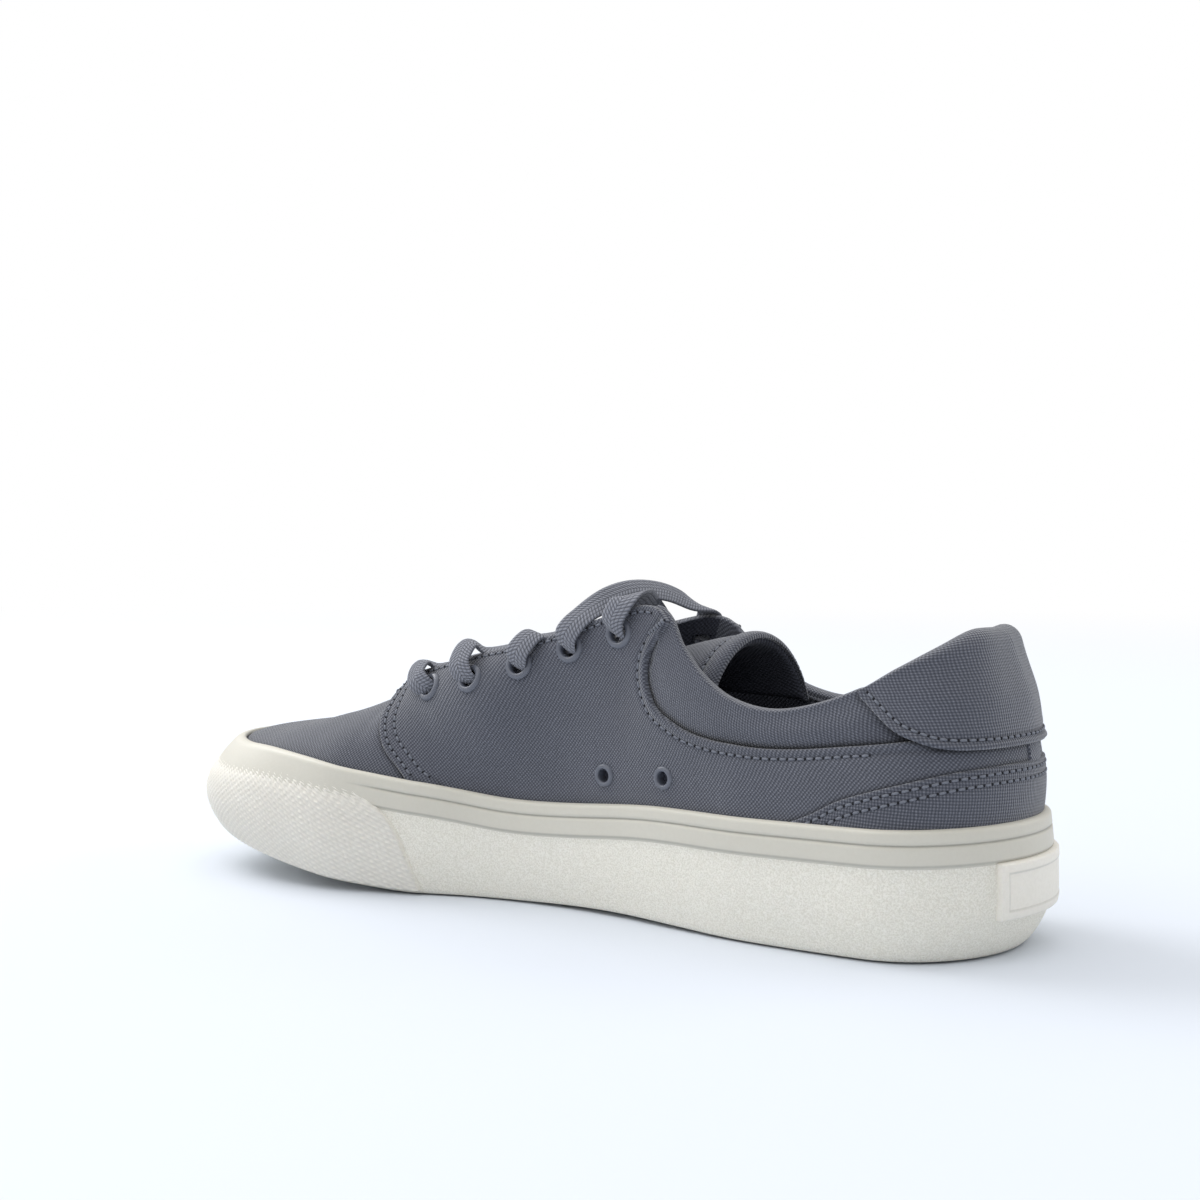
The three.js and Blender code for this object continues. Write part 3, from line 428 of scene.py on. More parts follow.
# Cloth map of a face whose first columns lie on the skin. Over the rim it runs on by the face's own length.
def clothOver(angle, up, face, turned=0.0):
    uv = clothMap(angle, up)
    rest = face[:, uv.shape[1] - 1:]
    run = np.cumsum(np.linalg.norm(np.diff(rest, axis=1), axis=-1), 1)
    beyond = np.stack([np.broadcast_to(uv[:, -1:, 0], run.shape), uv[:, -1:, 1] + run], -1)
    return turnMap(np.concatenate([uv, beyond], 1), turned)


# Cloth map of any other grid: its lengths along the middle column and across each row.
def lengthMap(grid):
    along = lengths(grid[:, grid.shape[1] // 2])[:, None]
    step = np.linalg.norm(np.diff(grid, axis=1), axis=-1)
    across = np.concatenate([np.zeros((len(grid), 1)), np.cumsum(step, 1)], 1)
    middle = across[:, across.shape[1] // 2][:, None]
    return np.stack(np.broadcast_arrays(along, across - middle), -1)


# Distance of every point of a grid from a line of points, worked out row by row.
def distanceTo(grid, line):
    return np.array([np.linalg.norm(row[:, None] - line[None], axis=-1).min(1) for row in grid])


# Painted shadow: a dark line where another layer's edge lies on this one.
def edgeShadow(points, line, width=0.7):
    return 0.8 * np.exp(-(distanceTo(points, line) / width) ** 2)


# Line on the skin that an edge table gives, (share, up) on both sides of the heel.
def edgeLine(edge, reach, count=700):
    angle = np.linspace(-angleOf(reach), angleOf(reach), count)
    return skin(angle, np.clip(read(edge, "up", shareOf(angle)), -0.1, 1))


# Quarter round over the last stretch before an edge: 0 on the edge and 1 from there on.
def edgeRound(distance, radius):
    return np.sqrt(1 - (1 - np.clip(distance / radius, 0, 1)) ** 2)


# A row of needle work presses the cloth down along a line at a distance from the edge.
def stitchDent(distance, row, depth=0.4, width=1.0):
    return -depth * np.exp(-((distance - row) / width) ** 2)


# Slow waves of stretched cloth, a few tenths of a millimetre.
def slack(points):
    x, y, z = points[..., 0], points[..., 1], points[..., 2]
    wave = np.sin(x / 19 + z / 13 + 1) * np.sin(z / 17 - y / 23) + 0.6 * np.sin(x / 8.3 - z / 15 + y / 11)
    return 0.16 * wave


# Soft folds of the upper, each from one place to another: (side, share, up) twice, depth and
# width.
foldRows = [
    (1, .80, .22, 1, .90, .62, -.25, 6.0), (1, .76, .45, 1, .84, .86, -.25, 6.0),
    (1, .74, .10, 1, .80, .42, .2, 6.5),
    (1, .86, .12, 1, .95, .40, -.2, 6.0), (-1, .80, .25, -1, .88, .65, -.3, 6.0),
    (-1, .75, .4, -1, .82, .85, -.25, 6.0),
    (1, .47, .05, 1, .60, .26, -.3, 8.0), (1, .30, .06, 1, .42, .22, -.3, 7.5),
    (-1, .45, .06, -1, .58, .32, -.35, 8.0),
    (-1, .30, .2, -1, .42, .3, -.3, 7.5), (1, .17, .30, 1, .27, .22, .3, 7.0),
    (1, .33, .42, 1, .41, .38, -.25, 6.0),
]


# Depth of the folds at points: each is a trough with a bell-shaped section round a straight line.
def folds(points):
    depth = np.zeros(points.shape[:-1])
    for sideA, shareA, upA, sideB, shareB, upB, deep, width in foldRows:
        a, b = skin(angleOf(shareA, sideA), upA), skin(angleOf(shareB, sideB), upB)
        t = np.clip(((points - a) @ (b - a)) / ((b - a) @ (b - a)), 0, 1)
        apart = np.linalg.norm(points - a - t[..., None] * (b - a), axis=-1)
        depth += deep * np.exp(-(apart / width) ** 2)
    return depth


def linear(hexColour):
    parts = np.array([int(hexColour[k:k + 2], 16) for k in (1, 3, 5)]) / 255
    parts = np.where(parts <= 0.04045, parts / 12.92, ((parts + 0.055) / 1.055) ** 2.4)
    return (*parts, 1.0)


def addNode(tree, kind, inputs=None, **settings):
    node = tree.nodes.new("ShaderNode" + kind)
    for name, value in settings.items():
        setattr(node, name, value)
    for name, value in (inputs or {}).items():
        if isinstance(value, bpy.types.NodeSocket):
            tree.links.new(value, node.inputs[name])
        else:
            node.inputs[name].default_value = value
    return node.outputs[0]


# A new material's node tree and its shader, with the values that are the same all over.
def startMaterial(name, **values):
    material = bpy.data.materials.new(name)
    material.use_nodes = True
    shader = material.node_tree.nodes["Principled BSDF"]
    for key, value in values.items():
        shader.inputs[key.replace("_", " ")].default_value = value
    return material, material.node_tree, shader


def mixColours(tree, factor, first, second):
    node = tree.nodes.new("ShaderNodeMix")
    node.data_type = "RGBA"
    for socket, value in ((0, factor), (6, first), (7, second)):
        if isinstance(value, bpy.types.NodeSocket):
            tree.links.new(value, node.inputs[socket])
        else:
            node.inputs[socket].default_value = value
    return node.outputs[2]


def maths(tree, operation, first, second=0.0):
    return addNode(tree, "Math", {0: first, 1: second}, operation=operation)


# Painted shade: colour that darkens where the piece is marked as deep in a seam or a moulded line.
def withPaintedShade(tree, colour, strength):
    mark = tree.nodes.new("ShaderNodeAttribute")
    mark.attribute_name = "paintedShade"
    amount = maths(tree, "MULTIPLY", mark.outputs["Fac"], strength)
    return mixColours(tree, amount, colour, (0.0, 0.0, 0.0, 1.0))


# Cotton duck, a plain weave of dyed yarn: where the weft lies over the warp the eye sees a pale dot, every
# other crossing, so the dots stand in slanting rows. The yarns are 0.6 mm apart, and a few are thicker than
# the rest.
def clothMaterial(name, cloth):
    material, tree, shader = startMaterial(name, Roughness=cloth["roughness"], IOR=1.46)
    shader.inputs["Sheen Weight"].default_value = cloth["sheen"]
    shader.inputs["Sheen Roughness"].default_value = 0.45
    uv = addNode(tree, "UVMap", uv_map="cloth")
    places = addNode(tree, "VectorMath", {0: uv, 1: (1 / cloth["yarn"],) * 3}, operation="MULTIPLY")
    slub = addNode(tree, "TexNoise", {"Vector": places, "Scale": 0.19, "Detail": 1.0})
    drift = maths(tree, "MULTIPLY", maths(tree, "SUBTRACT", slub, 0.5), 0.8)
    bent = addNode(tree, "VectorMath", {0: places, 1: drift}, operation="ADD")
    split = tree.nodes.new("ShaderNodeSeparateXYZ")
    tree.links.new(bent, split.inputs[0])
    warp = maths(tree, "SINE", maths(tree, "MULTIPLY", split.outputs[0], np.pi))
    weft = maths(tree, "SINE", maths(tree, "MULTIPLY", split.outputs[1], np.pi))
    over = maths(tree, "MULTIPLY", warp, weft)
    speck = addNode(tree, "TexNoise", {"Vector": places, "Scale": 0.8, "Detail": 2.0, "Roughness": 0.8})
    cloud = addNode(tree, "TexNoise", {"Vector": uv, "Scale": 0.035, "Detail": 3.0, "Roughness": 0.5})
    dark, base, pale = (linear(cloth[key]) for key in ("dark", "base", "pale"))
    gaps = addNode(tree, "MapRange", {"Value": over, "From Min": -0.8, "From Max": 0.1})
    dots = addNode(tree, "MapRange", {"Value": over, "From Min": 0.1, "From Max": 0.9})
    patchy = addNode(tree, "MapRange", {"Value": speck, "From Min": 0.35, "From Max": 0.6, "To Min": 0.35})
    woven = mixColours(tree, gaps, dark, base)
    woven = mixColours(tree, maths(tree, "MULTIPLY", dots, patchy), woven, pale)
    shade = addNode(tree, "MapRange", {"Value": cloud, "From Min": 0.3, "From Max": 0.7,
                                       "To Min": 0.94, "To Max": 1.06})
    colour = tree.nodes.new("ShaderNodeHueSaturation")
    # Painted shade: the woven colour is darkened where the mark lies in seams, stitch dents and under layer
    # edges.
    tree.links.new(withPaintedShade(tree, woven, 0.75), colour.inputs["Color"])
    tree.links.new(shade, colour.inputs["Value"])
    tree.links.new(colour.outputs[0], shader.inputs["Base Color"])
    relief = addNode(tree, "Bump", {"Height": over, "Strength": cloth["relief"], "Distance": 0.00025})
    tree.links.new(relief, shader.inputs["Normal"])
    return material


canvas = {"base": "#555863", "dark": "#40434d", "pale": "#7d808b", "yarn": 0.6,
          "relief": 0.6, "roughness": 0.9, "sheen": 0.5}
lining = {"base": "#434651", "dark": "#343640", "pale": "#545763", "yarn": 0.8,
          "relief": 0.5, "roughness": 0.95, "sheen": 0.05}
canvasCloth = clothMaterial("cotton_duck", canvas)
liningCloth = clothMaterial("cotton_drill_lining", lining)


# Vulcanised rubber: off-white, satin, faintly mottled where the mould and the glue left it.
def rubberMaterial(name, rubber):
    material, tree, shader = startMaterial(name, Roughness=rubber["roughness"], IOR=1.52)
    shader.inputs["Subsurface Weight"].default_value = 0.06
    shader.inputs["Subsurface Radius"].default_value = (0.004, 0.003, 0.002)
    where = tree.nodes.new("ShaderNodeTexCoord").outputs["Object"]
    cloud = addNode(tree, "TexNoise", {"Vector": where, "Scale": 45.0, "Detail": 5.0, "Roughness": 0.65})
    grain = addNode(tree, "TexNoise", {"Vector": where, "Scale": rubber["grain"],
                                       "Detail": 2.0, "Roughness": 0.7})
    spots = addNode(tree, "MapRange", {"Value": grain, "From Min": 0.38, "From Max": 0.62})
    base = mixColours(tree, cloud, linear(rubber["base"]), linear(rubber["pale"]))
    amount = maths(tree, "MULTIPLY", maths(tree, "SUBTRACT", 1.0, spots), rubber["specks"])
    speckled = mixColours(tree, amount, base, linear(rubber["dark"]))
    # Painted shade: the speckled colour is darkened where the mark lies in moulded lines and grooves.
    tree.links.new(withPaintedShade(tree, speckled, 0.42), shader.inputs["Base Color"])
    relief = addNode(tree, "Bump", {"Height": spots, "Strength": rubber["relief"], "Distance": 0.0004})
    tree.links.new(relief, shader.inputs["Normal"])
    return material


smoothRubber = rubberMaterial("vulcanised_rubber_smooth", {
    "base": "#cecbc0", "pale": "#d6d3c8", "dark": "#c4c0b3", "grain": 900.0, "specks": 0.12, "relief": 0.04,
    "roughness": 0.46})
grainyRubber = rubberMaterial("vulcanised_rubber_grained", {
    "base": "#f6f3e8", "pale": "#f8f6ee", "dark": "#b8b29e", "grain": 2000.0, "specks": 0.36, "relief": 0.35,
    "roughness": 0.7})
toeRubber = rubberMaterial("vulcanised_rubber_moulded", {
    "base": "#f0ece2", "pale": "#f4f1e9", "dark": "#d5d0c4", "grain": 900.0, "specks": 0.15, "relief": 0.05,
    "roughness": 0.55})


# Braided cotton lace: yarns slant both ways from the middle, so it shows fine ribs like a row of small
# grains.
def braidMaterial(name, braid):
    material, tree, shader = startMaterial(name, Roughness=0.85, IOR=1.46)
    shader.inputs["Sheen Weight"].default_value = 0.2
    uv = addNode(tree, "UVMap", uv_map="cloth")
    split = tree.nodes.new("ShaderNodeSeparateXYZ")
    tree.links.new(uv, split.inputs[0])
    slant = maths(tree, "MULTIPLY", maths(tree, "ABSOLUTE", split.outputs[1]), braid["slant"])
    along = maths(tree, "MULTIPLY", maths(tree, "ADD", split.outputs[0], slant), np.pi / braid["rib"])
    across = maths(tree, "MULTIPLY", split.outputs[1], np.pi / braid["wale"])
    ribs = maths(tree, "ABSOLUTE", maths(tree, "SINE", along))
    wales = maths(tree, "ABSOLUTE", maths(tree, "SINE", across))
    grains = maths(tree, "POWER", maths(tree, "MULTIPLY", ribs, maths(tree, "POWER", wales, 0.5)), 0.7)
    colour = mixColours(tree, grains, linear(braid["dark"]), linear(braid["base"]))
    tree.links.new(colour, shader.inputs["Base Color"])
    relief = addNode(tree, "Bump", {"Height": grains, "Strength": 0.9, "Distance": 0.0004})
    tree.links.new(relief, shader.inputs["Normal"])
    return material


laceBraid = braidMaterial("braided_cotton_lace", {
    "base": "#8b8e99", "dark": "#454852", "rib": 1.15, "wale": 1.45, "slant": 0.6})


# Sewing thread, matt twisted polyester a shade paler than the cloth, with a faint twist.
def threadMaterial():
    material, tree, shader = startMaterial("sewing_thread", Roughness=0.55, IOR=1.5)
    where = tree.nodes.new("ShaderNodeTexCoord").outputs["Object"]
    fuzz = addNode(tree, "TexNoise", {"Vector": where, "Scale": 2600.0, "Detail": 2.0})
    tree.links.new(mixColours(tree, fuzz, linear("#5f636e"), linear("#80848f")), shader.inputs["Base Color"])
    return material


# Pressed steel eyelets under grey enamel: satin, with the colour a little uneven.
def enamelMaterial():
    material, tree, shader = startMaterial("grey_enamel", Roughness=0.36, IOR=1.5)
    shader.inputs["Coat Weight"].default_value = 0.25
    where = tree.nodes.new("ShaderNodeTexCoord").outputs["Object"]
    cloud = addNode(tree, "TexNoise", {"Vector": where, "Scale": 300.0, "Detail": 3.0})
    tree.links.new(mixColours(tree, cloud, linear("#5a5e69"), linear("#666a76")), shader.inputs["Base Color"])
    relief = addNode(tree, "Bump", {"Height": cloud, "Strength": 0.08, "Distance": 0.0002})
    tree.links.new(relief, shader.inputs["Normal"])
    return material


# Needle holes: dark pricks in the cloth between two stitches, painted shade that stands for the depth of each
# hole.
def holeMaterial():
    material, tree, shader = startMaterial("needle_hole_shadow", Roughness=1.0)
    where = tree.nodes.new("ShaderNodeTexCoord").outputs["Object"]
    fuzz = addNode(tree, "TexNoise", {"Vector": where, "Scale": 2000.0})
    tree.links.new(mixColours(tree, fuzz, linear("#191a20"), linear("#24262d")), shader.inputs["Base Color"])
    return material


thread = threadMaterial()
enamel = enamelMaterial()
holeShade = holeMaterial()
print("materials made")

# The camera stands where the photograph's did: 212 degrees round, 3 degrees up, with a 54 mm lens.
view = {"from": (-304.6, 482.9, 123.0), "towards": (0.5292, -0.8469, -0.0523), "lens": 54.0, "sensor": 36.0}
camera = bpy.data.objects.new("camera", bpy.data.cameras.new("camera"))
camera.data.lens = view["lens"]
camera.data.sensor_width = view["sensor"]
camera.data.clip_end = 50
camera.location = Vector((np.array(view["from"]) + place) / 1000)
camera.rotation_euler = Vector(view["towards"]).to_track_quat("-Z", "Y").to_euler()
bpy.context.scene.collection.objects.link(camera)
bpy.context.scene.camera = camera

stitchLines = []     # every seam leaves its rows here: points, normals and thread radius


# Keeps a row of stitches for sewing at the end. The facing is turned the way the cloth looks at that place.
def sewRow(line, normal, outward, radius=0.34, pitch=2.7):
    flip = np.sign((normal * outward).sum(-1))[:, None]
    smooth = line.copy()
    smooth[1:-1] = (line[:-2] + 2 * line[1:-1] + line[2:]) / 4
    stitchLines.append((smooth + normal * flip * 0.14, normal * flip, pitch, radius))


# Quarters: the side panels, from the heel to the seam over the vamp. Their top line follows the collar's seam
# to the corner and then the edge of the throat: share, share up the rib, and share at the panel's foot.
quarter = {
    "top": [(0, .48, 0), (.05, .5, .05), (.089, .54, .089), (.129, .587, .13), (.165, .633, .167),
            (.203, .663, .207), (.234, .68, .24), (.279, .67, .288), (.316, .637, .328), (.342, .613, .358),
            (.365, .607, .384), (.389, .617, .412), (.406, .657, .432), (.419, .713, .45), (.426, .79, .478),
            (.426, .88, .52), (.419, .963, .56), (.419, 1, .572), (.445, 1, .578), (.48, 1, .588),
            (.54, 1, .602),
            (.6, 1, .616), (.65, 1, .622), (.676, .985, .627), (.694, .93, .631), (.704, .84, .635)],
    "bulge": {"at": [0, .06, .2, .36, .635, 1], "share": [0, .012, .022, .031, .027, 0]},
    "foot": -0.12, "cloth": 1.2, "lift": 0.15, "edge": 0.55, "turned": 0.3, "seamRow": 2.9,
    "frontRows": (2.2, 5.6), "eyestayRow": 2.0,
}


def quarterGrid(side, along, across):
    top = curveThrough(quarter["top"], along)
    top[:, 1] = np.minimum(top[:, 1], 1)
    t = np.linspace(0, 1, along)[:, None]
    w = across[None]
    share = top[:, 2:3] * (1 - w) + top[:, :1] * w
    share = share + read(quarter["bulge"], "share", w) * t ** 7
    up = quarter["foot"] * (1 - w) + top[:, 1:2] * w
    return angleOf(share, side), up


def makeQuarter(side):
    across = np.concatenate([np.linspace(0, 0.88, 50), 0.88 + 0.12
                             * rise(0, 1, np.linspace(0, 1, 30)[1:]) ** 0.8])
    angle, up = quarterGrid(side, 380, across)
    base, normal = skin(angle, up), skinNormal(angle, up)
    share = shareOf(angle)
    corner = int(np.argmax((share[:, -1] > 0.415) & (up[:, -1] > 0.99)))
    seam, stay, front = base[:corner, -1], base[corner:, -1], base[-1]
    fromSeam, fromStay, fromFront = [distanceTo(base, finer(line, 1200)) for line in (seam, stay, front)]
    distance = np.minimum(np.minimum(fromSeam, fromStay), fromFront)
    out = quarter["lift"] + quarter["cloth"] * edgeRound(distance, quarter["edge"])
    out = out + slack(base) * rise(0, 6, distance) + folds(base) * rise(0, 8, distance)
    out = out + quarter["turned"] * np.exp(-((distance - 1.2) / 1.2) ** 2)     # the turned edge is thicker
    dents = [(fromSeam, quarter["seamRow"], 0.35), (fromStay, quarter["eyestayRow"], 0.15)]
    dents += [(fromFront, row, 0.3) for row in quarter["frontRows"]]
    for away, row, depth in dents:
        out = out + stitchDent(away, row, depth, 0.9)
    outer = base + normal * out[..., None]
    eyestay = rise(0.41, 0.47, share) * rise(14, 7, fromStay)
    inner = base + normal * (quarter["lift"] - 0.35 - 1.0 * eyestay)[..., None]
    spots = [eyeletSeat(side, index) for index in range(shoe["eyeletCount"])]
    keep = cutRound(base, spots, 3.7)
    if side > 0:
        keep &= cutRound(base, [ventSeat(index) for index in range(2)], 2.8)
    # Painted shade under the counter's and the tab's edges and in the stitch dents.
    paintedShade = edgeShadow(base, edgeLine(counter["edge"], counter["reach"]))
    paintedShade = paintedShade + edgeShadow(base, edgeLine(tab["edge"], tab["reach"]))
    paintedShade = paintedShade + sum(0.22 * np.exp(-((away - row) / 0.7) ** 2) for away, row, depth in dents)
    name = "quarter_inner" if side > 0 else "quarter_outer"
    piece = addShell(name, outer, inner, canvasCloth, clothMap(angle, up), paintedShade, keep)
    line, facing = rowOnGrid(outer, fromSeam, quarter["seamRow"])
    part = slice(50, corner - 4)
    sewRow(line[part], facing[part], normal[part, -1])
    line, facing = rowOnGrid(outer, fromStay, quarter["eyestayRow"])
    part = slice(corner + 12, None)
    sewRow(line[part], facing[part], normal[part, -1], radius=0.28)
    tack = (corner + 4, slice(-24, -4))     # a bar of thread locks the corner
    sewRow(outer[tack], normal[tack], normal[tack], radius=0.7, pitch=1.2)
    turned, away = outer.transpose(1, 0, 2), fromFront.T
    for row in quarter["frontRows"]:
        line, facing = rowOnGrid(turned, away, row)
        sewRow(line[8:-3], facing[8:-3], normal[-1, 8:-3])
    return piece


# Vamp: the front panel, tucked under the quarters, with its two halves joined along the crest.
vamp = {"from": 0.615, "pitch": 0.95, "rows": 76, "foot": -0.12, "cloth": 1.4, "edge": 0.8}


def makeVamp():
    angle = evenAngles(angleOf(vamp["from"]), np.pi, vamp["pitch"])
    up = np.linspace(vamp["foot"], 1, vamp["rows"])
    grids, marks = [], []
    for side in (1, -1):
        a, u = np.broadcast_arrays(side * angle[:, None], up[None])
        seamAngle, seamUp = quarterGrid(side, 60, np.linspace(0, 1, 300))
        base = skin(a, u)
        inThroat = (shareOf(a) < shoe["throatFront"]).astype(float)
        mouth = skin(angleOf(np.linspace(0.6, shoe["throatFront"], 300), side), 1.0)
        away = distanceTo(base, mouth)
        out = (slack(base) + folds(base)) * rise(1, 0.85, u) * rise(0, 5, away)
        out = out - vamp["edge"] * (1 - edgeRound(away, vamp["edge"])) * inThroat
        grids.append(base + skinNormal(a, u) * out[..., None])
        # Painted shadow along the line where the quarter's front edge lies over the vamp.
        marks.append(edgeShadow(base, skin(seamAngle[-1], seamUp[-1]), 0.9))
    inner, outer = grids[0], grids[1][:, ::-1]
    closed = shareOf(angle) >= shoe["throatFront"]
    crest = (inner[:, -1] + outer[:, 0]) / 2
    inner[closed, -1] = crest[closed]
    outer[closed, 0] = crest[closed]
    whole = np.concatenate([inner[closed], outer[closed, 1:]], 1)
    near = np.exp(-((np.arange(whole.shape[1]) - vamp["rows"] + 1) / 11) ** 2)[None, 1:-1, None]
    for turnNumber in range(60):
        whole[:, 1:-1] += 0.5 * near * (whole[:, :-2] + whole[:, 2:] - 2 * whole[:, 1:-1]) * 0.9
    inner[closed] = whole[:, :vamp["rows"]]
    outer[closed, 0] = whole[:, vamp["rows"] - 1]
    outer[closed, 1:] = whole[:, vamp["rows"]:]
    points = np.concatenate([inner, outer], 1)
    quads = gridQuads(*points.shape[:2])
    quads = quads[quads[:, 0] % points.shape[1] != vamp["rows"] - 1]
    crest = np.concatenate([head(angle), skin(np.pi, np.linspace(1, vamp["foot"], 60)[1:])])
    crest = crest[np.argsort(crest[:, 0])]
    columns = (lengths(crest * [1, 0, 1]), crest[:, 2])
    middle = [np.interp(points[..., 0], crest[:, 0], column) for column in columns]
    aside = points[..., 1] - np.interp(points[..., 0], [70, 130], [-0.8, 1.5])
    uv = np.stack([middle[0], np.sign(aside) * np.hypot(aside, middle[1] - points[..., 2])], -1)
    paintedShade = np.concatenate([marks[0], marks[1][:, ::-1]], 1)
    piece = addPiece("vamp", points, quads, canvasCloth, uv, closed=False, weld=1e-6, paintedShade=paintedShade)
    wallModifier = piece.modifiers.new("cloth thickness", "SOLIDIFY")
    wallModifier.thickness = vamp["cloth"] / 1000
    wallModifier.offset = -1
    return piece


# Rolls a grid's last row over the rim: half an ellipse from the outer face to the inner one.
def rollOver(angle, outRim, inRim, height, turns, at=1.0):
    at = at + 0 * angle
    top, normal = skin(angle, at), skinNormal(angle, at)
    rising = unit(top - skin(angle, at - 0.03))
    middle, half = (outRim + inRim) / 2, (outRim - inRim) / 2
    across = middle[:, None] + half[:, None] * np.cos(turns)[None]
    above = np.reshape(height, (-1, 1)) * np.sin(turns)[None]
    return top[:, None] + normal[:, None] * across[..., None] + rising[:, None] * above[..., None]


# Inner face of the upper at the rim, behind the padding.
def padBehind(share, up=1.0):
    return -(shoe["canvasWall"] + shoe["collarPad"] * read(padTable, "pad", share) * rise(0.35, 0.75, up))


# Evens out a grid along the shoe round the heel's middle, where the two halves' inner faces would cross:
# each point moves towards the middle of its neighbours, less and less away from the heel.
def easeHeel(points, angle, rounds=40, reach=0.3):
    near = 0.45 * np.exp(-(angle / reach) ** 2)[1:-1, None, None]
    for turnNumber in range(rounds):
        points[1:-1] += near * (points[:-2] + points[2:] - 2 * points[1:-1])
    return points


# Collar: a padded band round the ankle that puffs out above the quarters and rolls over the rim.
collar = {
    "reach": 0.445, "pitch": 0.95,
    "seam": {"at": [0, .05, .089, .129, .165, .203, .234, .279, .316, .342, .365,
                    .389, .406, .419, .424, .43, .45],
             "up": [.48, .5, .54, .587, .633, .663, .68, .67, .637, .613, .607,
                    .617, .657, .713, .8, .97, 1.1]},
    "tuck": 0.13, "puff": 2.3, "rim": 1.1, "cloth": 1.1, "inside": 3.5, "groove": 0.7,
}


def makeCollar():
    angle = roundHeel(collar["reach"], collar["pitch"])
    share = shareOf(angle)
    seam = read(collar["seam"], "up", share)
    low = np.minimum(seam, 0.72) - collar["tuck"]
    w = np.linspace(0, 1, 41)[None]
    at = 1 - 0.1 * rise(0.15, 0.1, share)
    up = low[:, None] + (at - low)[:, None] * w
    a = np.broadcast_to(angle[:, None], up.shape)
    base, normal = skin(a, up), skinNormal(a, up)
    above = (up - seam[:, None]) / np.maximum(1 - seam[:, None], 0.1)
    tall = np.linalg.norm(skin(angle, 1.0) - skin(angle, np.minimum(seam, 0.98)), axis=-1)[:, None]
    swell = (1 - np.exp(-np.maximum(above, 0) * tall / 3.2)) * (1 - 0.55 * rise(0.35, 1, above))
    pad = np.maximum(read(padTable, "pad", share), 0.25)[:, None]
    swell = swell * (0.3 + 0.7 * rise(0.09, 0.15, share))[:, None]
    out = (collar["puff"] + collar["groove"]) * swell * pad * (above > 0) - collar["groove"]
    out = out + slack(base) * 1.2 * rise(0, 0.3, above)
    # Painted shade in the groove along the seam with the quarters.
    creaseShade = np.exp(-(above * tall / 1.1) ** 2)
    outer = base + normal * out[..., None]
    turns = np.linspace(0, np.pi, 15)[1:]
    inRim = padBehind(share)
    height = collar["rim"] * (0.55 + 0.45 * read(padTable, "pad", share))
    height = height * (0.15 + 0.85 * rise(0.1, 0.15, share))
    roll = rollOver(angle, out[:, -1], inRim, height, turns, at)
    down = np.linspace(0, 1, 5)[1:][None] * (collar["inside"] / np.maximum(tall, 20)) * 0.6
    insideUp = at[:, None] - down
    inside = skin(a[:, :4], insideUp) + skinNormal(a[:, :4], insideUp) * inRim[:, None, None]
    face = easeHeel(np.concatenate([outer, roll, inside], 1), angle)
    gridNormal = unit(np.cross(np.gradient(face, axis=1), np.gradient(face, axis=0)))
    behind = face - gridNormal * collar["cloth"]
    # Painted shade in the seam's groove and under the heel tab's edge.
    paintedShade = np.concatenate([creaseShade, np.zeros((len(angle), face.shape[1] - creaseShade.shape[1]))], 1)
    paintedShade = paintedShade + edgeShadow(face, edgeLine(tab["edge"], tab["reach"]), 1.4)
    piece = addShell("collar", face, behind, canvasCloth, clothOver(a, up, face, 18), paintedShade)
    return piece


# Heel tab: a soft pad over the back of the collar whose lower edge stands off.
tab = {
    "edge": {"at": [0, .013, .029, .049, .065, .083, .103, .12, .134, .145, .149],
             "up": [.395, .392, .397, .417, .45, .513, .613, .747, .87, .965, .995]},
    "reach": 0.144, "lift": 1.9, "cloth": 1.3, "puff": 1.0, "flare": 1.0, "edgeRadius": 0.8, "row": 2.6,
    "rim": 1.5, "drop": 0.075, "dome": 4.2, "hem": 0.845,
}


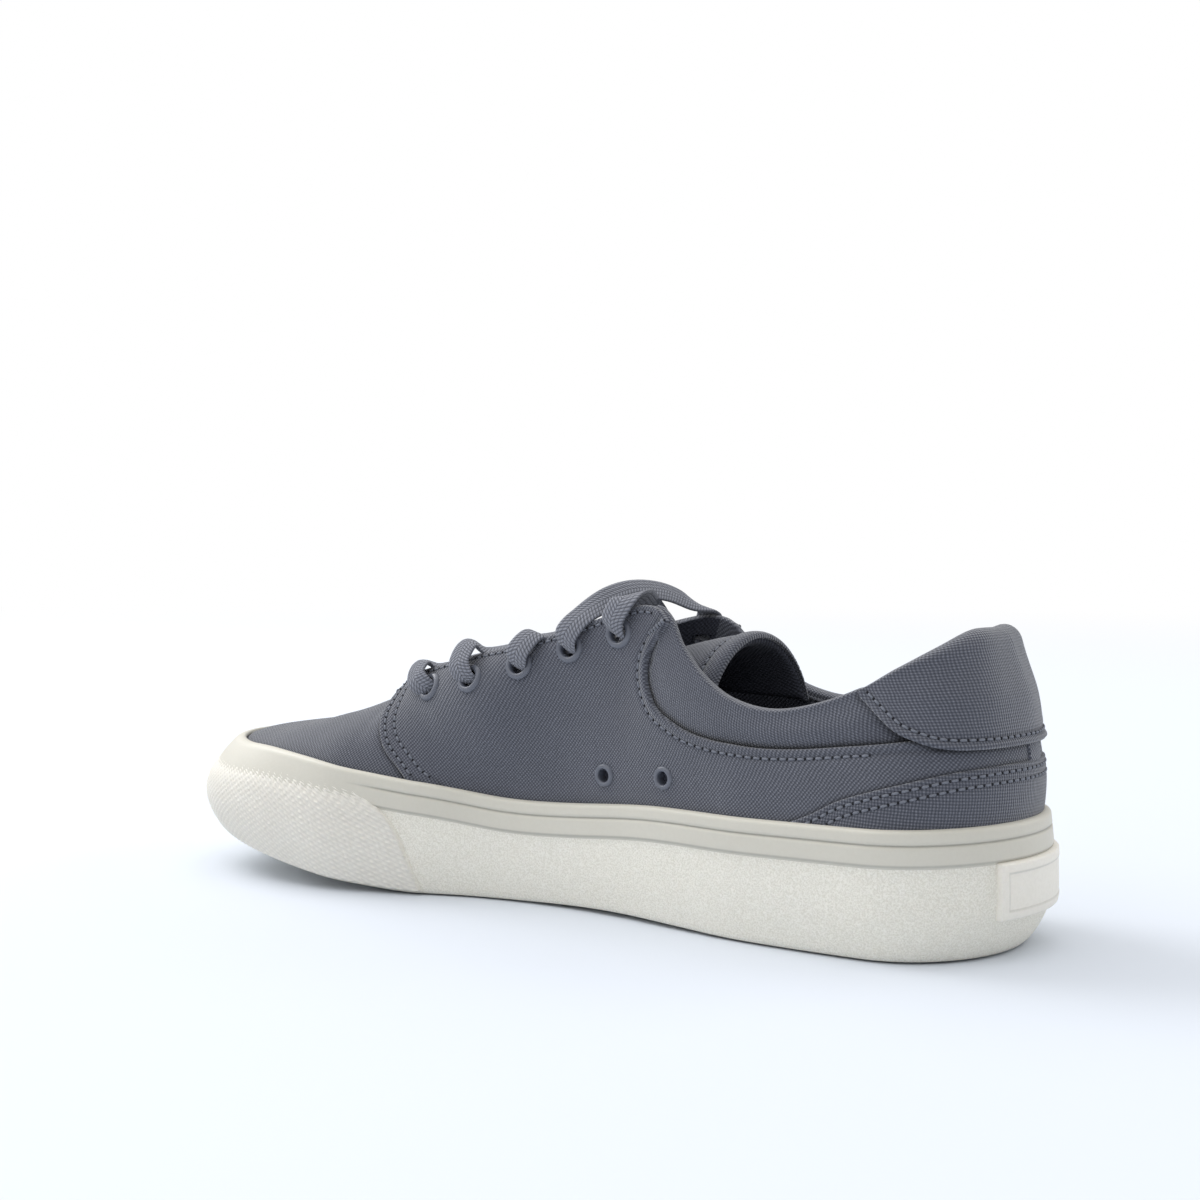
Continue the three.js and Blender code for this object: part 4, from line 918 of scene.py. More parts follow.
def makeTab():
    angle = roundHeel(tab["reach"], 0.8)
    share = shareOf(angle)
    low = read(tab["edge"], "up", share)
    w = np.concatenate([np.linspace(0, 0.25, 16), np.linspace(0.25, 1, 42)[1:]])[None]
    at = 1 - tab["drop"] * rise(0.11, 0.03, share)
    up = low[:, None] + (np.maximum(at, low + 0.02) - low)[:, None] * w
    a = np.broadcast_to(angle[:, None], up.shape)
    base, normal = skin(a, up), skinNormal(a, up)
    distance = distanceTo(base, finer(base[:, 0], 1500))
    ends = rise(0, 0.035, tab["reach"] - share)[:, None]
    out = tab["lift"] * (0.35 + 0.65 * ends) + (tab["cloth"] - 0.3) * edgeRound(distance, tab["edgeRadius"])
    out = out + tab["flare"] * np.exp(-distance / 5) * ends
    out = out + tab["puff"] * rise(2, 14, distance) * (1 - 0.6 * rise(0.5, 1, w))
    out = out + stitchDent(distance, tab["row"], 0.5, 1.1) + slack(base) * 1.4 * rise(3, 9, distance)
    outer = base + normal * out[..., None]
    turns = np.linspace(0, np.pi, 17)[1:]
    inRim = padBehind(share) - 0.35
    height = tab["rim"] * (0.4 + 0.6 * ends[:, 0]) + tab["dome"] * (1 - at) / tab["drop"]
    roll = rollOver(angle, out[:, -1], inRim, height, turns, np.maximum(at, low + 0.02))
    insideUp = at[:, None] + (tab["hem"] - at[:, None]) * np.linspace(0, 1, 6)[1:][None]
    inside = skin(a[:, :5], insideUp) + skinNormal(a[:, :5], insideUp) * inRim[:, None, None]
    face = easeHeel(np.concatenate([outer, roll, inside], 1), angle)
    gridNormal = unit(np.cross(np.gradient(face, axis=1), np.gradient(face, axis=0)))
    # Painted shade in the dent of the tab's stitch row.
    paintedShade = np.zeros(face.shape[:2])
    paintedShade[:, :distance.shape[1]] = 0.22 * np.exp(-((distance - tab["row"]) / 0.7) ** 2)
    piece = addShell("heel_tab_pad", face, face - gridNormal * 1.0, canvasCloth, clothOver(a, up, face, 45),
                     paintedShade)
    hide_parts("heel_tab")
    line, facing = rowOnGrid(outer[:, ::-1], distance[:, ::-1], tab["row"])
    sewRow(line[3:-3], facing[3:-3], normal[3:-3, 0])
    return piece


# Counter: a second layer of canvas low round the heel, sewn with two rows.
counter = {
    "edge": {"at": [0, .007, .028, .053, .083, .127, .158, .182, .205, .22],
             "up": [.303, .302, .296, .292, .273, .233, .173, .075, -.005, -.06]},
    "reach": 0.214, "foot": -0.14, "lift": 1.15, "cloth": 0.95, "edgeRadius": 0.7, "rows": (1.9, 4.4),
}


def makeCounter():
    angle = roundHeel(counter["reach"], 0.8)
    top = read(counter["edge"], "up", shareOf(angle))
    w = np.concatenate([np.linspace(0, 0.6, 14), np.linspace(0.6, 1, 22)[1:]])[None]
    up = counter["foot"] + (top[:, None] - counter["foot"]) * w
    a = np.broadcast_to(angle[:, None], up.shape)
    base, normal = skin(a, up), skinNormal(a, up)
    distance = distanceTo(base, finer(base[:, -1], 2000))
    out = counter["lift"] + counter["cloth"] * edgeRound(distance, counter["edgeRadius"])
    out = out + slack(base) * rise(2, 8, distance)
    for row in counter["rows"]:
        out = out + stitchDent(distance, row, 0.3, 0.8)
    outer, inner = base + normal * out[..., None], base + normal * (counter["lift"] - 0.15)
    # Painted shade in the dents of the two stitch rows.
    paintedShade = sum(0.22 * np.exp(-((distance - row) / 0.6) ** 2) for row in counter["rows"])
    piece = addShell("counter_patch", outer, inner, canvasCloth, clothMap(a, up, 42), paintedShade)
    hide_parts("heel_counter")
    for row in counter["rows"]:
        line, facing = rowOnGrid(outer, distance, row)
        sewRow(line[6:-6], facing[6:-6], normal[6:-6, -1])
    return piece


# Back strip: a narrow tape over the seam that joins the two quarters at the heel.
def makeBackStrip():
    strip = {"half": 4.3, "low": 0.24, "high": 0.46, "out": 1.75}
    reach = np.interp(strip["half"], skin(np.linspace(0, 0.3, 60), 0.35)[:, 1], np.linspace(0, 0.3, 60))
    angle = np.linspace(-reach, reach, 17)[:, None]
    up = np.linspace(strip["low"], strip["high"], 24)[None]
    a, u = np.broadcast_arrays(angle, up)
    base, normal = skin(a, u), skinNormal(a, u)
    rounded = edgeRound(strip["half"] - np.abs(base[..., 1]), 0.6)
    outer = base + normal * (0.9 + (strip["out"] - 0.9) * rounded)[..., None]
    piece = addShell("back_strip", outer, base + normal * 0.8, canvasCloth, clothMap(a, u))
    return piece


# Lining: the dark cloth inside, from under the rim's roll down to the footbed.
def makeLining():
    inside = {"reach": 0.7, "pitch": 1.5, "cloth": 0.8, "foot": -0.5}
    angle = roundHeel(inside["reach"], inside["pitch"])
    share = shareOf(angle)
    w = np.linspace(0, 1, 34)[None]
    highest = 1 - 0.045 * rise(0.44, 0.4, share)
    up = inside["foot"] + (highest[:, None] - inside["foot"]) * w
    a = np.broadcast_to(angle[:, None], up.shape)
    base, normal = skin(a, up), skinNormal(a, up)
    panel = read(collar["seam"], "up", np.minimum(share, 0.42))[:, None]
    pad = shoe["collarPad"] * read(padTable, "pad", share)[:, None] * rise(panel - 0.25, panel + 0.15, up)
    out = -(shoe["canvasWall"] + pad) + 0.25 + slack(base)
    face = easeHeel(base + normal * out[..., None], angle, 15)
    keep = np.ones((len(angle) - 1, w.shape[1] - 1), bool)
    for side in (1, -1):
        keep &= cutRound(face, [eyeletSeat(side, index) for index in range(shoe["eyeletCount"])], 3.4)
    piece = addShell("quarter_lining", face + normal * inside["cloth"], face, liningCloth, lengthMap(face),
                     keep=keep)
    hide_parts("upper")
    welt = base[:, -1] + normal[:, -1] * (out[:, -1] - 0.15)[:, None]
    for side, name in ((1, "collar_welt_inner"), (-1, "collar_welt_outer")):
        keep = (share > 0.15) & (share < 0.42) & (angle * side > 0)
        addCord(name, welt[keep], 0.55, canvasCloth)
    return piece


# Round cord along a line: a ring of points about each stop, at right angles to the run.
def addCord(name, line, radius, material, sides=8):
    run = unit(np.gradient(line, axis=0))
    across = unit(np.cross(run, np.array([0.05, 0.02, 1.0])))
    other = np.cross(run, across)
    turns = np.linspace(0, 2 * np.pi, sides, endpoint=False)
    ring = across[:, None] * np.cos(turns)[None, :, None] + other[:, None] * np.sin(turns)[None, :, None]
    points = line[:, None] + ring * radius
    uv = np.stack(np.broadcast_arrays(lengths(line)[:, None], (turns * radius)[None]), -1)
    piece = addPiece(name, points, gridQuads(len(line), sides, wrapColumns=True), material, uv,
                     closed=False, sharp=0)
    return piece


# Tongue: an arched pad. Each section is part of an ellipse across the foot.
tongue = {
    "rows": {"at": [0, .2, .45, .7, .88, 1], "along": [.745, .63, .53, .43, .355, .3],
             "height": [.606, .66, .735, .815, .875, .91], "half": [.14, .205, .216, .216, .214, .216],
             "arch": [.03, .045, .07, .12, .188, .23]},
    "centre": -0.014, "sweep": 1.45, "turn": 5.5, "wall": 3.6, "hem": 6.5, "puff": 0.5,
}


def tonguePoint(across, along, out):
    column = {name: read(tongue["rows"], name, along) for name in ("along", "height", "half", "arch")}
    turn = across * tongue["sweep"]
    half = shoe["ballWidth"] * column["half"] + out
    arch = shoe["ballWidth"] * column["arch"] + out
    x = shoe["length"] * (column["along"] - 0.5) + tongue["turn"] * across * along ** 3
    y = shoe["ballWidth"] * tongue["centre"] + half * np.sin(turn)
    z = shoe["instepHeight"] * column["height"] - arch * (1 - np.cos(turn)) + out
    return np.stack(np.broadcast_arrays(x, y, z), -1)


def makeTongue():
    along = np.concatenate([np.linspace(0, 0.9, 120), np.linspace(0.9, 1, 24)[1:]])[:, None]
    across = np.linspace(-1, 1, 80)[None]
    base = tonguePoint(across, along, 0.0)
    tip = distanceTo(base, finer(base[-1], 600))
    sides = np.minimum(1 - across, across + 1) * tongue["sweep"] * 20
    edge = np.minimum(tip, sides)
    out = -1.3 * (1 - edgeRound(edge, 2.0)) + slack(base) * 1.5
    out = out + stitchDent(tip, tongue["hem"], 0.5, 0.9)
    out = out + tongue["puff"] * rise(0, 3, tip) * rise(6.5, 4, tip)
    top, under = tonguePoint(across, along, out), tonguePoint(across, along, -1.8 + 0 * out)
    # Painted shade in the dent of the hem's stitch row.
    seam = np.exp(-((tip - tongue["hem"]) / 0.6) ** 2) * 0.4
    cover = addShell("tongue_face", top, under, canvasCloth, lengthMap(base), seam)
    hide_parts("tongue")
    a, b = across * 0.985, along * 0.992
    upperFace = tonguePoint(a, b, -1.75 + 0 * out)
    lowerFace = tonguePoint(a, b, 1.0 * (1 - edgeRound(edge, 3.0)) - tongue["wall"])
    back = addShell("tongue_lining", upperFace, lowerFace, liningCloth, lengthMap(base))
    line, facing = rowOnGrid(top.transpose(1, 0, 2), tip.T, tongue["hem"])
    sewRow(line[4:-4], facing[4:-4], np.array([0, 0, 1.0]) + 0 * line[4:-4])
    return cover


# Where an eyelet or a vent sits: the rib whose point at that height has the wanted x, by halving.
def seat(side, x, upOf):
    low, high = 0.3, 0.63
    for attempt in range(40):
        middle = (low + high) / 2
        if skin(angleOf(middle, side), upOf(middle, side))[0] < x:
            low = middle
        else:
            high = middle
    angle = angleOf(low, side)
    up = upOf(low, side)
    normal = skinNormal(angle, np.array(up))
    rising = unit(skin(angle, up + 0.01) - skin(angle, up - 0.01))
    point = skin(angle, up) + normal * 1.15
    return {"angle": angle, "up": up, "axis": normal, "rising": rising, "point": point}


def eyeletSeat(side, index):
    def upOf(share, side):
        angle = angleOf(share, side)
        span = np.linalg.norm(skin(angle, 1.0) - skin(angle, 1 - shoe["seatPart"]))
        return 1 - shoe["seatPart"] * shoe["eyeletFromEdge"] / span
    return seat(side, shoe["firstEyelet"] - index * shoe["eyeletPitch"], upOf)


def ventSeat(index):
    def upOf(share, side):
        angle = angleOf(share, side)
        tall = skin(angle, shoe["seatPart"])[2] - skin(angle, 0.0)[2]
        return shoe["seatPart"] * shoe["ventHeight"] / tall
    return seat(1, shoe["firstVent"] - index * shoe["ventPitch"], upOf)


# Eyelets and vents: rings turned from one rounded profile, (radius, height) in millimetres.
ringProfile = {
    "eyelet": [(2.9, -2.6), (2.75, -0.4), (2.8, 0.45), (3.05, 0.95), (3.5, 1.15), (4.05, 1.05), (4.5, 0.7),
               (4.75, 0.2), (4.7, -0.15), (4.2, -0.3), (3.3, -0.35), (3.2, -2.6)],
    "vent": [(2.1, -2.6), (1.95, -0.3), (2.0, 0.35), (2.2, 0.7), (2.6, 0.85), (3.05, 0.75), (3.4, 0.45),
             (3.55, 0.1), (3.5, -0.15), (3.0, -0.3), (2.5, -0.35), (2.4, -2.6)],
}


def makeRing(name, kind, spot):
    profile = curveThrough(ringProfile[kind] + ringProfile[kind][:1], 40)[:-1]
    turns = np.linspace(0, 2 * np.pi, 48, endpoint=False)
    across = unit(np.cross(spot["axis"], spot["rising"]))
    spoke = spot["rising"] * np.cos(turns)[:, None] + across * np.sin(turns)[:, None]
    points = spot["point"] + spoke[:, None] * profile[None, :, :1] + spot["axis"] * profile[None, :, 1:]
    piece = addPiece(f"{name}_ring", points, gridQuads(48, 39, True, True), enamel)
    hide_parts(name)
    return piece


# Lace: one flat braid that crosses the throat from eyelet to eyelet. Each crossing leaves its eyelet
# outwards, climbs over the edge, lies across the tongue, dives under the far edge and comes up in the next
# eyelet.
lace = {
    "width": 8.8, "pinch": 5.6, "thick": 1.5, "pinchThick": 2.0, "step": 0.9,
    "bulge": 3.3, "overEdge": 2.4, "underEdge": 2.6, "crossLift": (0.3, 2.3),
    "leans": {1: (2.8, 2.8, 0.6, 1.6, 2.2), -1: (1.5, 1.5, 1.5, 1.5, 1.5)},
    "rises": {1: (2.4, 3.2, 0.9, 0.3, 0.4), -1: (1.0, 1.4, 0.8, 0.4, -1.2)},
    "arcs": {1: {"lift": 9.5, "tilt": (-0.6, 0.3, 0.75),
                 "over": ((0.17, 0.78), (0.38, 1.0), (0.6, 0.9), (0.81, 0.52))},
             -1: {"lift": 4.4, "tilt": (0.3, 0.5, 0.8), "over": ((0.16, 0.95), (0.36, 1.0), (0.66, 0.72))}},
}


# Stops of the way out of an eyelet and over the edge: point, facing, and how wide the braid has spread. The
# loop stands off the canvas and leans a little to the toe.
def leaveEyelet(spot, towards, flip, side, index):
    edge = skin(spot["angle"], 1.0)
    n, r = spot["axis"], spot["rising"]
    toe = unit(np.cross(n, r))
    toe = toe * np.sign(toe[0]) * lace["leans"][side][index]
    over = lace["rises"][side][index]
    inward, level = unit((towards - edge) * [1, 1, 0]), np.array([0, 0, 1.0])
    return [
        (spot["point"] - n * 3.6 - r * 0.3, -r * flip, 0.0),
        (spot["point"] - n * 0.3 - r * 0.2, -r * flip, 0.1),
        (spot["point"] + n * 1.9 + r * 0.9 + toe * 0.5, (n * 0.8 - r * 0.5) * flip, 0.75),
        (spot["point"] + n * lace["bulge"] + r * (3.8 + 0.3 * over) + toe, n * flip, 1.0),
        (edge + n * lace["overEdge"] + toe + level * (0.6 + over), (n + level * 0.6) * flip, 1.0),
        (edge + inward * 4 + level * (0.9 + 0.3 * over) + toe * 0.5, (level + n * 0.5) * flip, 1.0),
    ]


def enterUnder(spot, side, flip):
    edge = skin(spot["angle"], 1.0)
    n, r = spot["axis"], spot["rising"]
    inward, level = np.array([0, -side, 0.0]), np.array([0, 0, 1.0])
    return [
        (edge + inward * 7 - level * 1.2, level * flip, 1.0),
        (edge + inward * 1.5 - n * lace["underEdge"] - level * 0.9, (n + level) * flip, 1.0),
        (spot["point"] - n * 4.4 + r * 3.2, n * flip, 0.8),
        (spot["point"] - n * 4.8 + r * 0.9, (n + r * 0.7) * flip, 0.35),
    ]


def laceStops(startSide):
    spots = {(side, index): eyeletSeat(side, index) for side in (1, -1) for index in range(5)}
    side, flip = startSide, 1.0
    bar = (spots[(1, 0)]["point"] + spots[(-1, 0)]["point"]) / 2 + np.array([0, 0, -1.6])
    stops = [(bar, np.array([0, 0, -1.0]), 1.0)]
    stops += [(point, -facing, size) for point, facing, size in enterUnder(spots[(side, 0)], side, 1.0)[1:]]
    for index in range(4):
        here, there = spots[(side, index)], spots[(-side, index + 1)]
        a, b = skin(here["angle"], 1.0), skin(there["angle"], 1.0)
        stops += leaveEyelet(here, b, flip, side, index)
        if index < 3:
            middle = (a + b) / 2 + np.array([0, 0, lace["crossLift"][int(side > 0)]])
            stops.append((middle, np.array([0, 0, 1.0]) * flip, 1.0))
            stops += enterUnder(there, -side, flip)
        else:
            arc = lace["arcs"][side]
            tilt = np.array(arc["tilt"]) * flip
            near, far = (a, b) if side > 0 else (b, a)
            over = [(near * (1 - t) + far * t + np.array([0, 0, arc["lift"] * high]), tilt, 1.0)
                    for t, high in arc["over"]]
            stops = stops[:-1] + (over if side > 0 else over[::-1])
            stops += leaveEyelet(there, a, flip, -side, index + 1)[-2::-1]
        side, flip = -side, -flip
    return stops


def makeLace(startSide, name):
    stops = laceStops(startSide)
    raw = np.array([np.concatenate([p, unit(np.asarray(f, float)), [s]]) for p, f, s in stops])
    dense = curveThrough(raw[:, :3], 2600)
    step = np.linalg.norm(np.diff(raw[:, :3], axis=0), axis=1) ** 0.5
    table = {"at": np.concatenate([[0], np.cumsum(step)])}
    at = np.linspace(0, table["at"][-1], 2600)
    rest = np.stack([np.interp(at, table["at"], raw[:, k]) for k in range(3, 7)], -1)
    run = lengths(dense)
    count = int(run[-1] / lace["step"])
    even = np.linspace(0, run[-1], count)
    centre, facing = alongLine(run, dense, even), unit(alongLine(run, rest, even))
    size = np.clip(np.interp(even, run, rest[:, 3]), 0, 1)
    ahead = unit(np.gradient(centre, axis=0))
    wide = unit(np.cross(ahead, facing))
    for turnNumber in range(10):
        wide[1:-1] = unit(wide[:-2] + wide[1:-1] * 2 + wide[2:])
    flat = np.cross(wide, ahead)
    turns = np.linspace(0, 2 * np.pi, 20, endpoint=False)
    c, s = np.cos(turns), np.sin(turns)
    section = np.stack([np.sign(c) * np.abs(c) ** 0.7, np.sign(s) * np.abs(s) ** 0.8], -1)
    width = (lace["pinch"] + (lace["width"] - lace["pinch"]) * size)[:, None] / 2
    thick = (lace["pinchThick"] + (lace["thick"] - lace["pinchThick"]) * size)[:, None] / 2
    ripple = 1 + 0.05 * np.sin(even / 1.1 * np.pi)[:, None]
    points = centre[:, None] + wide[:, None] * (width * section[:, 0])[..., None]
    points = points + flat[:, None] * (thick * ripple * section[:, 1])[..., None]
    uv = np.stack(np.broadcast_arrays(even[:, None], width * section[:, 0]), -1)
    quads = gridQuads(count, 20, wrapColumns=True)
    start, last = np.arange(20), (count - 1) * 20 + np.arange(20)
    caps = [[ring[k], ring[k + 1], ring[18 - k], ring[19 - k]] for ring in (start, last) for k in range(9)]
    caps = [cap[::-1] if k >= 9 else cap for k, cap in enumerate(caps)]
    piece = addPiece(name, points, np.concatenate([quads, np.array(caps)]), laceBraid, uv, sharp=0)
    return piece


# Rubber band round the side, as (level or height, inset) from its foot up: a rounded foot, the grained wall,
# a step in under the tape, the tape itself, a fine line, and a lip that closes on the canvas.
band = {"tape": 9.5, "step": 0.75, "line": 4.0, "lineDeep": 0.5, "lineEnds": (0.67, 0.73), "pitch": 0.9}


def bandProfile(height, floor, deep):
    tape, line = 1 - band["tape"] / height, 1 - band["line"] / height
    mm = 1 / height
    lower = [(0.025 + 0 * mm, 2.2 + 0 * mm), (0.012 + 0 * mm, 1.2 + 0 * mm), (0.02 + 0 * mm, 0.35 + 0 * mm),
             (0.05 + 0 * mm, 0 * mm)]
    lower += [(0.05 + (tape - 0.8 * mm - 0.05) * k / 22, 0 * mm) for k in range(1, 23)]
    step = band["step"]
    upperRows = [(tape - 0.45 * mm, -0.05), (tape - 0.2 * mm, -step * 0.55),
                 (tape + 0.15 * mm, -step * 0.92), (tape + 0.6 * mm, -step)]
    upperRows += [(tape + 0.6 * mm + (line - tape - 1.1 * mm) * k / 6, -step) for k in range(1, 7)]
    upperRows += [(line - 0.25 * mm, -step + deep * 0.5), (line, -step + deep),
                  (line + 0.25 * mm, -step + deep * 0.5), (line + 0.5 * mm, -step)]
    upperRows += [(line + 0.5 * mm + (1 - line - 1.3 * mm) * k / 4, -step) for k in range(1, 5)]
    upperRows += [(1 - 0.35 * mm, -step + 0.25), (1 + 0 * mm, -step + 0.85), (1 + 0.15 * mm, 0.9),
                  (1 - 0.1 * mm, 2.0)]
    back = [(1 - 1.2 * mm, 3.0), ((1 + floor) / 2, 3.0), (floor, 3.0), (0.3 + 0 * mm, 3.0),
            (0.05 + 0 * mm, 3.0)]
    rows = lower + upperRows + back
    levels = np.stack([np.broadcast_to(level, height.shape) for level, inset in rows], -1)
    insets = np.stack([np.broadcast_to(inset, height.shape).astype(float) for level, inset in rows], -1)
    return levels, insets, len(lower)


def makeBand():
    angle = allRound(band["pitch"])
    share = shareOf(angle)
    height = rimAt(share) - liftAt(share)
    fade = rise(*band["lineEnds"][::-1], share)
    levels, insets, grained = bandProfile(height, (floorAt(share) - liftAt(share)) / height,
                                          band["lineDeep"] * fade)
    points = wall(np.broadcast_to(angle[:, None], levels.shape), levels, insets)
    below = (1 - levels) * height[:, None]
    # Painted shade in the fine moulded line, under the tape's lower edge, and on the rows of the rounded foot
    # and the lip, which turn inwards.
    paintedShade = np.exp(-((below - band["line"]) / 0.3) ** 2) * 0.9 * fade[:, None]
    paintedShade = paintedShade + np.exp(-((below - band["tape"]) / 0.32) ** 2) * 0.8
    paintedShade = paintedShade + 0.25 * rise(0.9, 2.0, insets) * (insets < 2.5)
    uneven = 0.12 * np.sin(points[..., 0] / 21 + points[..., 1] / 17) * (insets < 2.5)
    points = points + outlineNormal(angle)[:, None] * uneven[..., None]
    quads = gridQuads(*levels.shape, True, True)
    piece = addPiece("rubber_band", points, quads, smoothRubber, sharp=0, paintedShade=paintedShade)
    piece.data.materials.append(grainyRubber)
    columns = quads.min(1) % levels.shape[1]
    flags = ((columns >= 2) & (columns < grained - 1)).astype(np.int32)
    if len(piece.data.polygons) == len(flags):
        piece.data.polygons.foreach_set("material_index", flags)
    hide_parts("foxing")
    return piece


# Toe bumper: a strip with small raised diamonds in slanting rows, and a plain bevelled border.
bumper = {
    "wall": 1.3, "below": 5.2, "foot": 0.035, "endTop": 0.722, "endFoot": 0.638, "out": 0.2,
    "long": 2.7, "tall": 1.75, "raise": 0.55, "fine": 0.48, "rows": 56, "edge": 0.8,
}


def makeBumper():
    rough = evenAngles(angleOf(bumper["endFoot"]), 2 * np.pi - angleOf(bumper["endFoot"]), bumper["fine"])
    t = np.linspace(0, 1, len(rough))[:, None]
    up = np.linspace(0, 1, bumper["rows"])[None]
    end = bumper["endFoot"] + (bumper["endTop"] - bumper["endFoot"]) * (0.45 * up + 0.55 * up ** 7)
    reach = np.pi - angleOf(end)
    angle = np.pi + reach * np.interp(t, [0, 1], [-1, 1])
    share = shareOf(angle)
    top = 1 - bumper["below"] / (rimAt(share) - liftAt(share))
    level = bumper["foot"] + (top - bumper["foot"]) * up
    angle, level = np.broadcast_arrays(angle, level)
    base = wall(angle, level, 0)
    along = lengths(wall(rough, 0.5, 0))[:, None] + 0 * up
    tall = level * (rimAt(share) - liftAt(share))
    fromEnds = distanceTo(base, np.concatenate([base[0], base[-1]]))
    distance = np.minimum(np.minimum(level - bumper["foot"], top - level) * 34, fromEnds)
    a = along / bumper["long"] + tall / bumper["tall"]
    b = along / bumper["long"] - tall / bumper["tall"]
    diamond = np.minimum(np.abs(a - np.round(a)), np.abs(b - np.round(b))) * 2
    knob = np.clip(diamond * 1.35, 0, 1)
    moulded = rise(0.15, 0.7, distance)
    fromTop = (top - level) * (rimAt(share) - liftAt(share))
    full = 0.35 + 0.65 * rise(0, 7, fromTop)
    out = bumper["out"] + bumper["wall"] * edgeRound(distance, bumper["edge"]) * full
    out = out + bumper["raise"] * (knob - 0.7) * moulded
    normal = outlineNormal(angle)
    outer, inner = base + normal * out[..., None], base - normal * 0.3
    # Painted shade in the grooves between the raised diamonds.
    paintedShade = (1 - knob) ** 1.2 * moulded * 0.42
    piece = addShell("bumper_strip", outer, inner, toeRubber, np.zeros((*base.shape[:2], 2)), paintedShade)
    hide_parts("toe_bumper")
    return piece


# Heel label: a bare rubber plate with an inset frame.
label = {"width": 46, "height": 16, "below": 9.9, "wall": 1.7, "frame": 2.9, "frameStep": 0.3, "edge": 0.7}


def makeLabel():
    angleLine = np.linspace(-0.9, 0.9, 1200)
    run = lengths(outline(angleLine))
    run = run - np.interp(0, angleLine, run)
    across = np.linspace(-label["width"] / 2, label["width"] / 2, 150)[:, None]
    up = np.linspace(0, label["height"], 54)[None]
    angle = np.interp(across, run, angleLine)
    share = shareOf(angle)
    height = rimAt(share) - label["below"] - label["height"] + up
    level = (height - liftAt(share)) / (rimAt(share) - liftAt(share))
    angle, level = np.broadcast_arrays(angle, level)
    edge = np.minimum(label["width"] / 2 - np.abs(across), np.minimum(up, label["height"] - up))
    inset = rise(label["frame"] - 0.25, label["frame"] + 0.25, edge)
    out = 0.25 + label["wall"] * edgeRound(edge, label["edge"]) - label["frameStep"] * inset
    base, normal = wall(angle, level, 0), outlineNormal(angle)
    # Painted shade along the frame's inset step.
    outer, paintedShade = base + normal * out[..., None], np.exp(-((edge - label["frame"]) / 0.22) ** 2) * 0.7
    piece = addShell("heel_plate", outer, base - normal * 0.2, toeRubber, np.zeros((*base.shape[:2], 2)),
                     paintedShade)
    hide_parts("heel_label")
    return piece


# Footbed: a soft insole whose border turns up a little, closed underneath.
def makeFootbed():
    bed = {"inset": 6.1, "thick": 4.4, "rings": 16}
    angle = allRound(2.5)
    share = shareOf(angle)
    height = floorAt(share) + bed["thick"]
    level = (height - liftAt(share)) / (rimAt(share) - liftAt(share))
    border = wall(angle, level, bed["inset"])
    spine = border.copy()
    spine[:, 1] = (border[:, 1] + wall(-angle, level, bed["inset"])[:, 1]) / 2
    t = np.linspace(0, 1, bed["rings"])[None, :, None]
    top = border[:, None] * (1 - t) + spine[:, None] * t
    top[..., 2] -= 1.6 * rise(0, 0.5, t[..., 0])
    low = border - [0, 0, bed["thick"] - 0.4]
    lowSpine = spine - [0, 0, bed["thick"] - 0.4]
    points = np.concatenate([lowSpine[:, None], low[:, None], top], 1)
    uv = points[..., :2]
    piece = addPiece("footbed", points, gridQuads(len(angle), points.shape[1], wrapRows=True), liningCloth,
                     uv, closed=False, weld=1e-7)
    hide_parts("insole")
    return piece


# Stitches: short capsules laid end to end along each row, sunk at both ends, with a needle hole between,
# which is a dark body of painted shade.
sewing = {"sides": 8, "stops": 7, "part": 0.4, "flat": 1.15, "sink": 0.25, "hole": 0.46, "holeDeep": 0.3}


# Round bodies at places along a row. Each is a stack of rings, with its own size and level at each stop.
def roundBodies(centre, ahead, across, up, reach, wide, tall, level):
    body = centre[:, None, None] + ahead[:, None, None] * reach[None, ..., None]
    body = body + across[:, None, None] * wide[None, ..., None]
    return body + up[:, None, None] * (tall + level)[None, ..., None]


